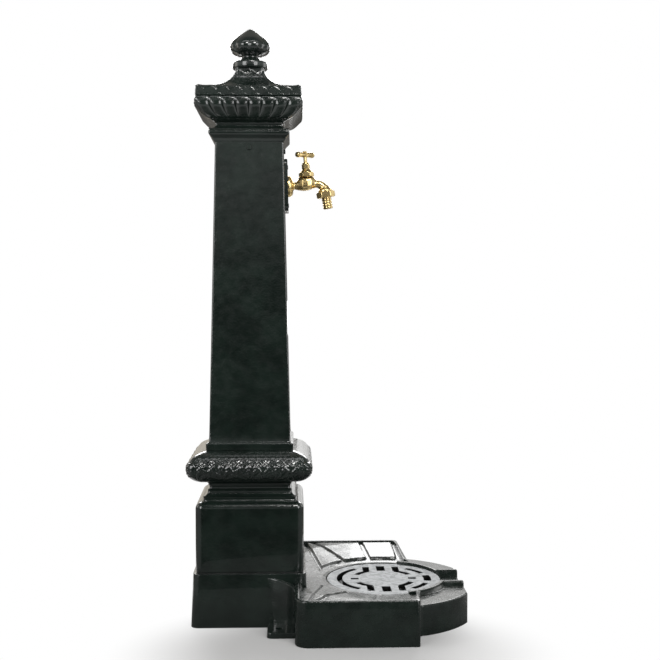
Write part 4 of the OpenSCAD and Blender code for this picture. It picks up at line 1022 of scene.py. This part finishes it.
cove_centre = (BASIN_BACK - COVE_RADIUS, BOX_TOP_HALF + COVE_RADIUS)
front_y = np.sqrt((LOBE_RADIUS + FRONT_COVE) ** 2 - (ahead + FRONT_COVE) ** 2)
front_centre = (BASIN_FRONT + FRONT_COVE, front_y)
front_last = np.degrees(np.arctan2(-front_y, GRATE_X - front_centre[0]))
for side_name, side in (("far", 1), ("near", -1)):
    back_cove = cove_grid(cove_centre, COVE_RADIUS, -92, 4, COVE_TOPS, side)
    front_cove = cove_grid(front_centre, FRONT_COVE, -185, front_last + 4, (LEDGE - 1, LEDGE - 1), side)
    casting("coves_" + side_name, "base_casting", green_paint, back_cove, front_cove, ring=False, loop=True)
    casting("ear_" + side_name, "base_casting", green_paint, ear_grid(side), loop=True)

# %% [markdown]
# ## The grate
# The grate is a galvanised casting, pale and slightly mottled, with a hammered middle, and painted shade
# makes its slots near black. Its solid already has the right slots, so a copy of it is merged and given a
# small bevel instead of being drawn again.

# %% Softened copies
BEVEL_ANGLE = np.radians(35)
BEVEL_SEGMENTS = 2


def softened(node, name, width):
    """A copy of a solid's mesh with its triangles merged and its edges rounded by a bevel of that width."""
    mesh = frame["nodes"][node].data.copy()
    mesh.materials.clear()
    made = shown(name, mesh, flatten=True)
    edge = made.modifiers.new("rounded_edges", "BEVEL")
    edge.width = width
    edge.segments = BEVEL_SEGMENTS
    edge.limit_method = "ANGLE"
    edge.angle_limit = BEVEL_ANGLE
    return made


ZINC_PALE = (0.25, 0.26, 0.265, 1)
ZINC_GREY = (0.12, 0.125, 0.13, 1)
PAINTED_SLOT_SHADE = (0.012, 0.012, 0.011, 1)
SLOT_SHADE_LEVELS = (0.0576, 0.0586)
GRATE_MIDDLE = (GRATE_X * MM, 0, 0.058)
HAMMERED = (0.045, 0.06)


def galvanised():
    """Zinc on cast iron: pale and grey patches from a cell pattern and a noise, near black painted shade on
    everything below the top so that the slots look deep, a fine bump all over and a coarser hammered one in
    the middle of the grate."""
    material, shader, place = new_finish("galvanised_grate")
    spangle = place.node("ShaderNodeTexVoronoi", {}, {"Vector": place, "Scale": 150.0}, "Color")
    patch = spangle.axis("X")
    cloud = noise(place, 60.0, 4.0, 0.6)
    zinc = (patch * 0.35 + cloud * 0.65).smooth(0.25, 0.7).blend(ZINC_GREY, ZINC_PALE)
    # Painted shade: below the grate's top, on the slot walls and the underside, the zinc turns near black.
    place.axis("Z").smooth(*SLOT_SHADE_LEVELS).blend(PAINTED_SLOT_SHADE, zinc).into(shader, "Base Color")
    (0.4 + 0.2 * cloud).into(shader, "Roughness")
    centre = place.vector("DISTANCE", GRATE_MIDDLE, "Value")
    hammered = noise(place, 190.0, 3.0) * (1 - centre.smooth(*HAMMERED))
    bump(place, hammered * 0.8 + noise(place, 420.0) * 0.3, 0.0011, shader)
    shader.inputs["Metallic"].default_value = 0.6
    return material


grate_zinc = galvanised()
grate = softened("drain_grate", "slotted_grate", 0.0009)
dress(grate, "grate", "grate_metal", grate_zinc, "drain_grate")

# %% [markdown]
# ## Brass
# The tap is polished brass. Metal takes its colour from what it reflects, so the base colour is the tint
# of brass and the rest is roughness, which a noise varies between smooth and a little duller, as fingers
# and weather leave it. A faint noise in tint and bump keeps it from looking like gilt plastic.

# %% Metals and rubber
BRASS_BRIGHT = (0.82, 0.63, 0.30, 1)
BRASS_DULL = (0.62, 0.45, 0.19, 1)
STEEL_PALE = (0.66, 0.67, 0.68, 1)
STEEL_GREY = (0.45, 0.46, 0.48, 1)
RUBBER_BLACK = (0.012, 0.012, 0.012, 1)
RUBBER_GREY = (0.03, 0.03, 0.03, 1)


def worn_metal(name, bright, dull, rough_low, rough_high, metallic, grain):
    """A metal or rubber: two tints and two roughnesses mixed by noise, with a fine bump."""
    material, shader, place = new_finish(name)
    cloud = noise(place, 130.0, 4.0, 0.6)
    fine = noise(place, 900.0, 2.0)
    cloud.smooth(0.42, 0.72).blend(bright, dull).into(shader, "Base Color")
    (rough_low + (rough_high - rough_low) * (cloud * 0.7 + fine * 0.3)).into(shader, "Roughness")
    bump(place, noise(place, 260.0) * 0.7 + fine * 0.3, grain, shader)
    shader.inputs["Metallic"].default_value = metallic
    return material


brass = worn_metal("polished_brass", BRASS_BRIGHT, BRASS_DULL, 0.17, 0.33, 1.0, 0.0001)
steel = worn_metal("zinc_plated_steel", STEEL_PALE, STEEL_GREY, 0.3, 0.5, 1.0, 0.0001)
rubber = worn_metal("black_rubber", RUBBER_BLACK, RUBBER_GREY, 0.6, 0.85, 0.0, 0.0002)
print("finishes:", brass.name, steel.name, rubber.name)

# %% [markdown]
# ## The tap
# The tap stands square to the shaft's tapered face, so each of its turned parts is made upright and then
# turned about the Y axis. The body is a casting whose barrel, chamber and spout flow into one another.
# Separate shells are laid over each other and joined by a voxel remesh, and a little smoothing makes the
# fillets that a pattern maker would put there.

# %% Tap placing
TAPER = np.arctan((SHAFT_HALF - SHAFT_TOP_HALF) / (SHAFT_TOP - SHAFT_FOOT))
TAP_DROP = 74.0
TAP_ORIGIN = np.array([SHAFT_TOP_HALF + np.tan(TAPER) * TAP_DROP, 0.0, SHAFT_TOP - TAP_DROP])
SPINDLE_OUT = 42.5
HEAD_LEAN = np.radians(3.0)
OUTLET_TILT = np.radians(8.5)
OUTLET_OUT = 77.09
OUTLET_UP = -15.69


def turned(grid, angle, origin):
    """The grid turned about Y, so that its Z axis points along (sine, 0, cosine) of the angle, and moved
    to the origin."""
    x = grid[..., 0] * np.cos(angle) + grid[..., 2] * np.sin(angle)
    z = grid[..., 2] * np.cos(angle) - grid[..., 0] * np.sin(angle)
    return np.stack([x, grid[..., 1], z], axis=-1) + origin


def on_tap(out, up):
    """A point of the tap's plane, out from the shaft's face and up from the inlet's axis."""
    return turned(np.array([out, 0.0, up]), -TAPER, TAP_ORIGIN)


def on_head(grid):
    """A grid made upright, set on the leaning axis of the headwork."""
    return turned(grid, -TAPER - HEAD_LEAN, on_tap(SPINDLE_OUT, 0.0))


def on_outlet(grid):
    """A grid made upright, turned over onto the outlet so that its Z axis follows the water."""
    return turned(grid, np.pi - OUTLET_TILT - TAPER, on_tap(OUTLET_OUT, OUTLET_UP))


print("tap origin:", TAP_ORIGIN.round(2))

# %% Tap body
BEND_START = 60.0
BEND_RADIUS = 16.0
SPOUT_UP = 3.6
SPOUT_RADII = (6.9, 9.4)
OUTLET_RADIUS = 13.2
BODY_VOXEL = 0.0007
BODY_TOP = np.array([
    (-34, 10.4), (15.5, 10.4), (16.5, 8.2), (18.5, 7.2), (22, 8.6), (25.5, 12), (27.2, 17), (56, 17),
    (57.2, 14.5), (60, 10.5)])
BODY_FOOT = np.array([
    (-34, -10.4), (15.5, -10.4), (16.5, -7.5), (18.5, -5.8), (27, -7.9), (36, -8.9), (45, -7.9),
    (54.3, -4.5), (60, -3.3)])
BODY_HALF = np.array([
    (-34, 10.4), (15.5, 10.4), (16.5, 8), (18.5, 7), (26, 8.5), (34, 12), (42, 13), (50, 11.5), (57, 7.6),
    (60, 6.9)])


def body_grid(count=56):
    """The casting as one run of sections. Up to the bend each section is a superellipse across the way out,
    whose top, foot and half width follow three outlines and whose power swells from 2 to 3 at the chamber.
    Round the bend the section is a circle that widens and stays square to the path."""
    angle = full_turn(count)
    out = np.concatenate([np.linspace(-34, 15.5, 12), np.linspace(16, BEND_START, 64)])[:, None]
    top = np.interp(out, *BODY_TOP.T)
    foot = np.interp(out, *BODY_FOOT.T)
    half = np.interp(out, *BODY_HALF.T)
    power = 2 + hump(out, 22, 32, 50, 58)
    c = signed_power(np.cos(angle), power)
    s = signed_power(np.sin(angle), power)
    middle = (top + foot) / 2
    run = np.stack([np.broadcast_to(out, c.shape), -half * s, middle + (top - foot) / 2 * c], axis=-1)
    aim = np.linspace(np.pi / 2, OUTLET_TILT, 24)[1:, None]
    radius = np.linspace(*SPOUT_RADII, 24)[1:, None]
    reach = BEND_RADIUS + radius * np.cos(angle)
    bend_out = BEND_START + reach * np.cos(aim)
    bend_up = SPOUT_UP - BEND_RADIUS + reach * np.sin(aim)
    bend = np.stack([bend_out, -radius * np.sin(angle), bend_up], axis=-1)
    return turned(np.concatenate([run, bend]), -TAPER, TAP_ORIGIN)


def flowing(made, voxel, passes):
    """Joins the shells of a piece by a voxel remesh and smooths the joins into fillets."""
    joined = made.modifiers.new("joined", "REMESH")
    joined.mode = "VOXEL"
    joined.voxel_size = voxel
    joined.use_smooth_shade = True
    fillets = made.modifiers.new("flowing", "SMOOTH")
    fillets.factor = 0.5
    fillets.iterations = passes


collar_shape = eased([
    (6, -17), (9.0, -14.5), (10, -11), (OUTLET_RADIUS, -8.6), (OUTLET_RADIUS, 0), (5, 0)], 1.2)
collar = on_outlet(lathe(collar_shape, count=72))
tap_body = piece("tap_body_casting", body_grid(), collar)
flowing(tap_body, BODY_VOXEL, passes=10)
dress(tap_body, "stand", "brass", brass, "tap_body")

# %% Nuts
NUT_SOFT = 0.6


def hexagon_lathe(profile, flats, count=144):
    """A lathe cut by six flats: the radius is at most half the width across flats over the cosine of the
    angle from the nearest flat."""
    from_flat = np.mod(full_turn(count), np.pi / 3) - np.pi / 6
    return lathe(profile, count, flats[:, None] / 2 / np.cos(from_flat))


def nut_grid(outline, flats):
    """A nut from its outline and from pairs of a height and the width across flats there."""
    line = eased(outline, NUT_SOFT, 4)
    return hexagon_lathe(line, np.interp(line[:, 1], *np.transpose(flats)))


bonnet_grid = nut_grid([
    (9, 17.1), (12.4, 17.1), (14.2, 18.4), (14.2, 24.2), (12.6, 25.8), (9.8, 29), (8.2, 31), (7.6, 32.3),
    (4, 32.3)], [(17, 25), (26.2, 25), (26.6, 40)])
dress(piece("bonnet_nut", on_head(bonnet_grid)), "stand", "brass", brass, "bonnet")
gland_grid = nut_grid([
    (5, 32.35), (7, 32.35), (7.5, 33), (7.5, 40.4), (6.4, 41.4), (6.1, 43.2), (5.2, 44.3),
    (3.6, 44.3)], [(32, 13), (41.3, 13), (41.5, 20)])
dress(piece("gland_cap_nut", on_head(gland_grid)), "stand", "brass", brass, "gland_nut")
union_grid = nut_grid([
    (13.32, -4.9), (15.4, -4.9), (17.5, -3.4), (17.5, 5.0), (15.4, 6.6), (9.5, 6.6), (9.5, 4.6),
    (13.32, 4.6)], [(-5, 31), (7, 31)])
union = piece("union_hexagon", on_outlet(union_grid), loop=True)
dress(union, "nut", "brass", brass, "union_nut")

# %% Handle, tail and rose
HANDLE_HEIGHT = 53.8
BAR_HALF = 23.5
HANDLE_TURN = np.radians(45)
HANDLE_VOXEL = 0.0006
TAIL_RADIUS = 8.2
TAIL_BORE = 5.5
TAIL_HEAD = 6.6
RING_PITCH = 4.78
TAIL_RING = ((0, 0.0), (0.9, 0.15), (0.9, 0.54), (0, 0.96))

tail_rings = [(TAIL_RADIUS + swell, TAIL_HEAD + RING_PITCH * (i + 0.5 + part))
              for i in range(4) for swell, part in TAIL_RING]
tail_line = eased([
    (TAIL_BORE, 27.0), (TAIL_BORE, 2.0), (12.9, 2.0), (12.9, 4.5), (8.65, 4.5), (8.65, 7.6), *tail_rings,
    (TAIL_RADIUS, 27.2), (7.4, 28.1), (TAIL_BORE, 28.1)], 0.4)
tail = piece("ringed_tail", on_outlet(lathe(tail_line, count=72)), loop=True)
dress(tail, "tail", "brass", brass, "hose_tail")

bar_end = np.array([
    (0.3, BAR_HALF), (2.6, BAR_HALF - 0.3), (4.6, BAR_HALF - 1.6), (5.5, BAR_HALF - 4.2), (5.1, 16),
    (4.7, 9)])
bar_shape = eased(np.concatenate([bar_end * (1, -1), bar_end[::-1]]), 3.0, 6)
bar = turned(lathe(bar_shape, count=48), np.pi / 2, np.array([0, 0, HANDLE_HEIGHT + 5]))
spin_c = np.cos(HANDLE_TURN)
spin_s = np.sin(HANDLE_TURN)
spin = np.array([[spin_c, spin_s, 0], [-spin_s, spin_c, 0], [0, 0, 1]])
hub_shape = eased([
    (2.9, HANDLE_HEIGHT), (4.0, HANDLE_HEIGHT), (4.5, HANDLE_HEIGHT + 0.6), (4.6, HANDLE_HEIGHT + 9.2),
    (4.2, HANDLE_HEIGHT + 10), (0.3, HANDLE_HEIGHT + 10)], 0.6)
handle = piece("tee_bar", on_head(bar @ spin), on_head(lathe(hub_shape, count=48)))
flowing(handle, HANDLE_VOXEL, passes=9)
dress(handle, "handle", "brass", brass, "tee_handle")

rose_shape = np.concatenate([
    [(18.4, 6.35), (20, 6.35)], quarter(11.4, 8.2, 8.6, 7.6, 0, 90, 14),
    [(10.5, 15.8), (10.5, 12), (16, 8)],
])
rose_grid = turned(lathe(rose_shape, count=72), np.pi / 2 - TAPER, TAP_ORIGIN)
rose = piece("rose", rose_grid, loop=True)
dress(rose, "stand", "brass", brass, "escutcheon")

# %% [markdown]
# ## What is left
# Screws, plate, spindle and the hidden pieces inside the pillar already have their shapes. Those that
# show get a softened copy, and the others keep their solids and only need a finish.

# %% Plain solids
SHOWN_COPIES = {
    "tap_plate": ("backing_plate", 0.0012, "stand", "cast_paint", green_paint),
    "capital_screws": ("capital_screw_heads", 0.0009, "stand", "screw_paint", screw_paint),
    "plate_screws": ("plate_screw_heads", 0.0008, "stand", "screw_paint", screw_paint),
    "handle_screw": ("handle_screw_head", 0.0005, "handle", "brass", brass),
}
for node, (copy_name, width, body, slot, finish) in SHOWN_COPIES.items():
    dress(softened(node, copy_name, width), body, slot, finish, node)

FINISHES = {"cast_paint": green_paint, "screw_paint": screw_paint, "brass": brass, "steel": steel,
            "rubber": rubber, "grate_metal": grate_zinc}
for subpart in frame["record"]["subparts"]:
    solid = frame["nodes"][subpart["node"]]
    solid.data.materials.clear()
    solid.data.materials.append(FINISHES[subpart["material_slot"]])

# %% [markdown]
# ## The floor
# The floor is a round pale sheet that keeps the soft shadow of the object. A wide plane would show its far
# edge as a grey line, so for the camera the sheet turns into plain white towards the rim. Near a point in
# front of the base the sheet is instead a mid grey lit by the lamps, which is painted shade around the base
# as well as the real shadow. Other rays see a dim felt in front of the object and white behind it, because
# the gloss paint mirrors both.

# %% Floor
FLOOR_CENTRE = 0.14
FLOOR_RADIUS = 0.62
FADE_FROM = 0.17
FADE_TO = 0.4
SHADE_CENTRE = (0.15, -0.24, 0)
SHADE_SQUEEZE = (1.0, 1.3, 1.0)
FLOOR_DROP = -0.0004
FLOOR_GLOW = 0.05
FLOOR_SHADE_GREY = (0.55, 0.55, 0.55, 1)
FLOOR_FELT = (0.17, 0.17, 0.17, 1)
FLOOR_WHITE = (0.8, 0.8, 0.8, 1)
PALE_BEHIND = (-0.05, 0.15)
NOTHING = (0, 0, 0, 1)

floor_rings = np.linspace(FLOOR_RADIUS, 0.001, 24)
floor_grid = lathe(np.stack([floor_rings, np.full_like(floor_rings, FLOOR_DROP)], axis=-1) / MM)
floor_grid[:, :, 0] += FLOOR_CENTRE / MM
floor = piece("floor_sheet", floor_grid, ends=False)
pale, floor_shader, floor_place = new_finish("pale_floor")
squeezed = floor_place.vector("SUBTRACT", SHADE_CENTRE).vector("MULTIPLY", SHADE_SQUEEZE)
fade = squeezed.vector("LENGTH", output="Value").smooth(FADE_FROM, FADE_TO)
floor_seen = floor_place.ray("Camera")
felt = floor_place.axis("Y").smooth(*PALE_BEHIND).blend(FLOOR_FELT, FLOOR_WHITE)
# Painted shade: for the camera the floor near the base is a mid grey under the lamps, darker than the
# glowing white further out, on top of the real shadow.
floor_seen.blend(felt, fade.blend(FLOOR_SHADE_GREY, NOTHING)).into(floor_shader, "Base Color")
glow = floor_seen * (FLOOR_GLOW + (1 - FLOOR_GLOW) * fade)
glow.blend(NOTHING, WHITE).into(floor_shader, "Emission Color")
floor_shader.inputs["Emission Strength"].default_value = 1.0
floor_shader.inputs["Roughness"].default_value = 0.9
floor_shader.inputs["Specular IOR Level"].default_value = 0.0
floor.data.materials.append(pale)
floor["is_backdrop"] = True
print("floor:", 2 * FLOOR_RADIUS, "m wide")

# %% [markdown]
# ## Sizes
# How far the dressed object reaches past the box of its solids is printed in mm; the relief may add a few
# millimetres. The dressed object must stay inside the box of its solids, apart from a few millimetres of
# relief.

# %% Finish
low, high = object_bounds()
grown = np.array([np.subtract(high, cad_high), np.subtract(cad_low, low)]) / MM
print("grown by mm:", grown.round(2).tolist())
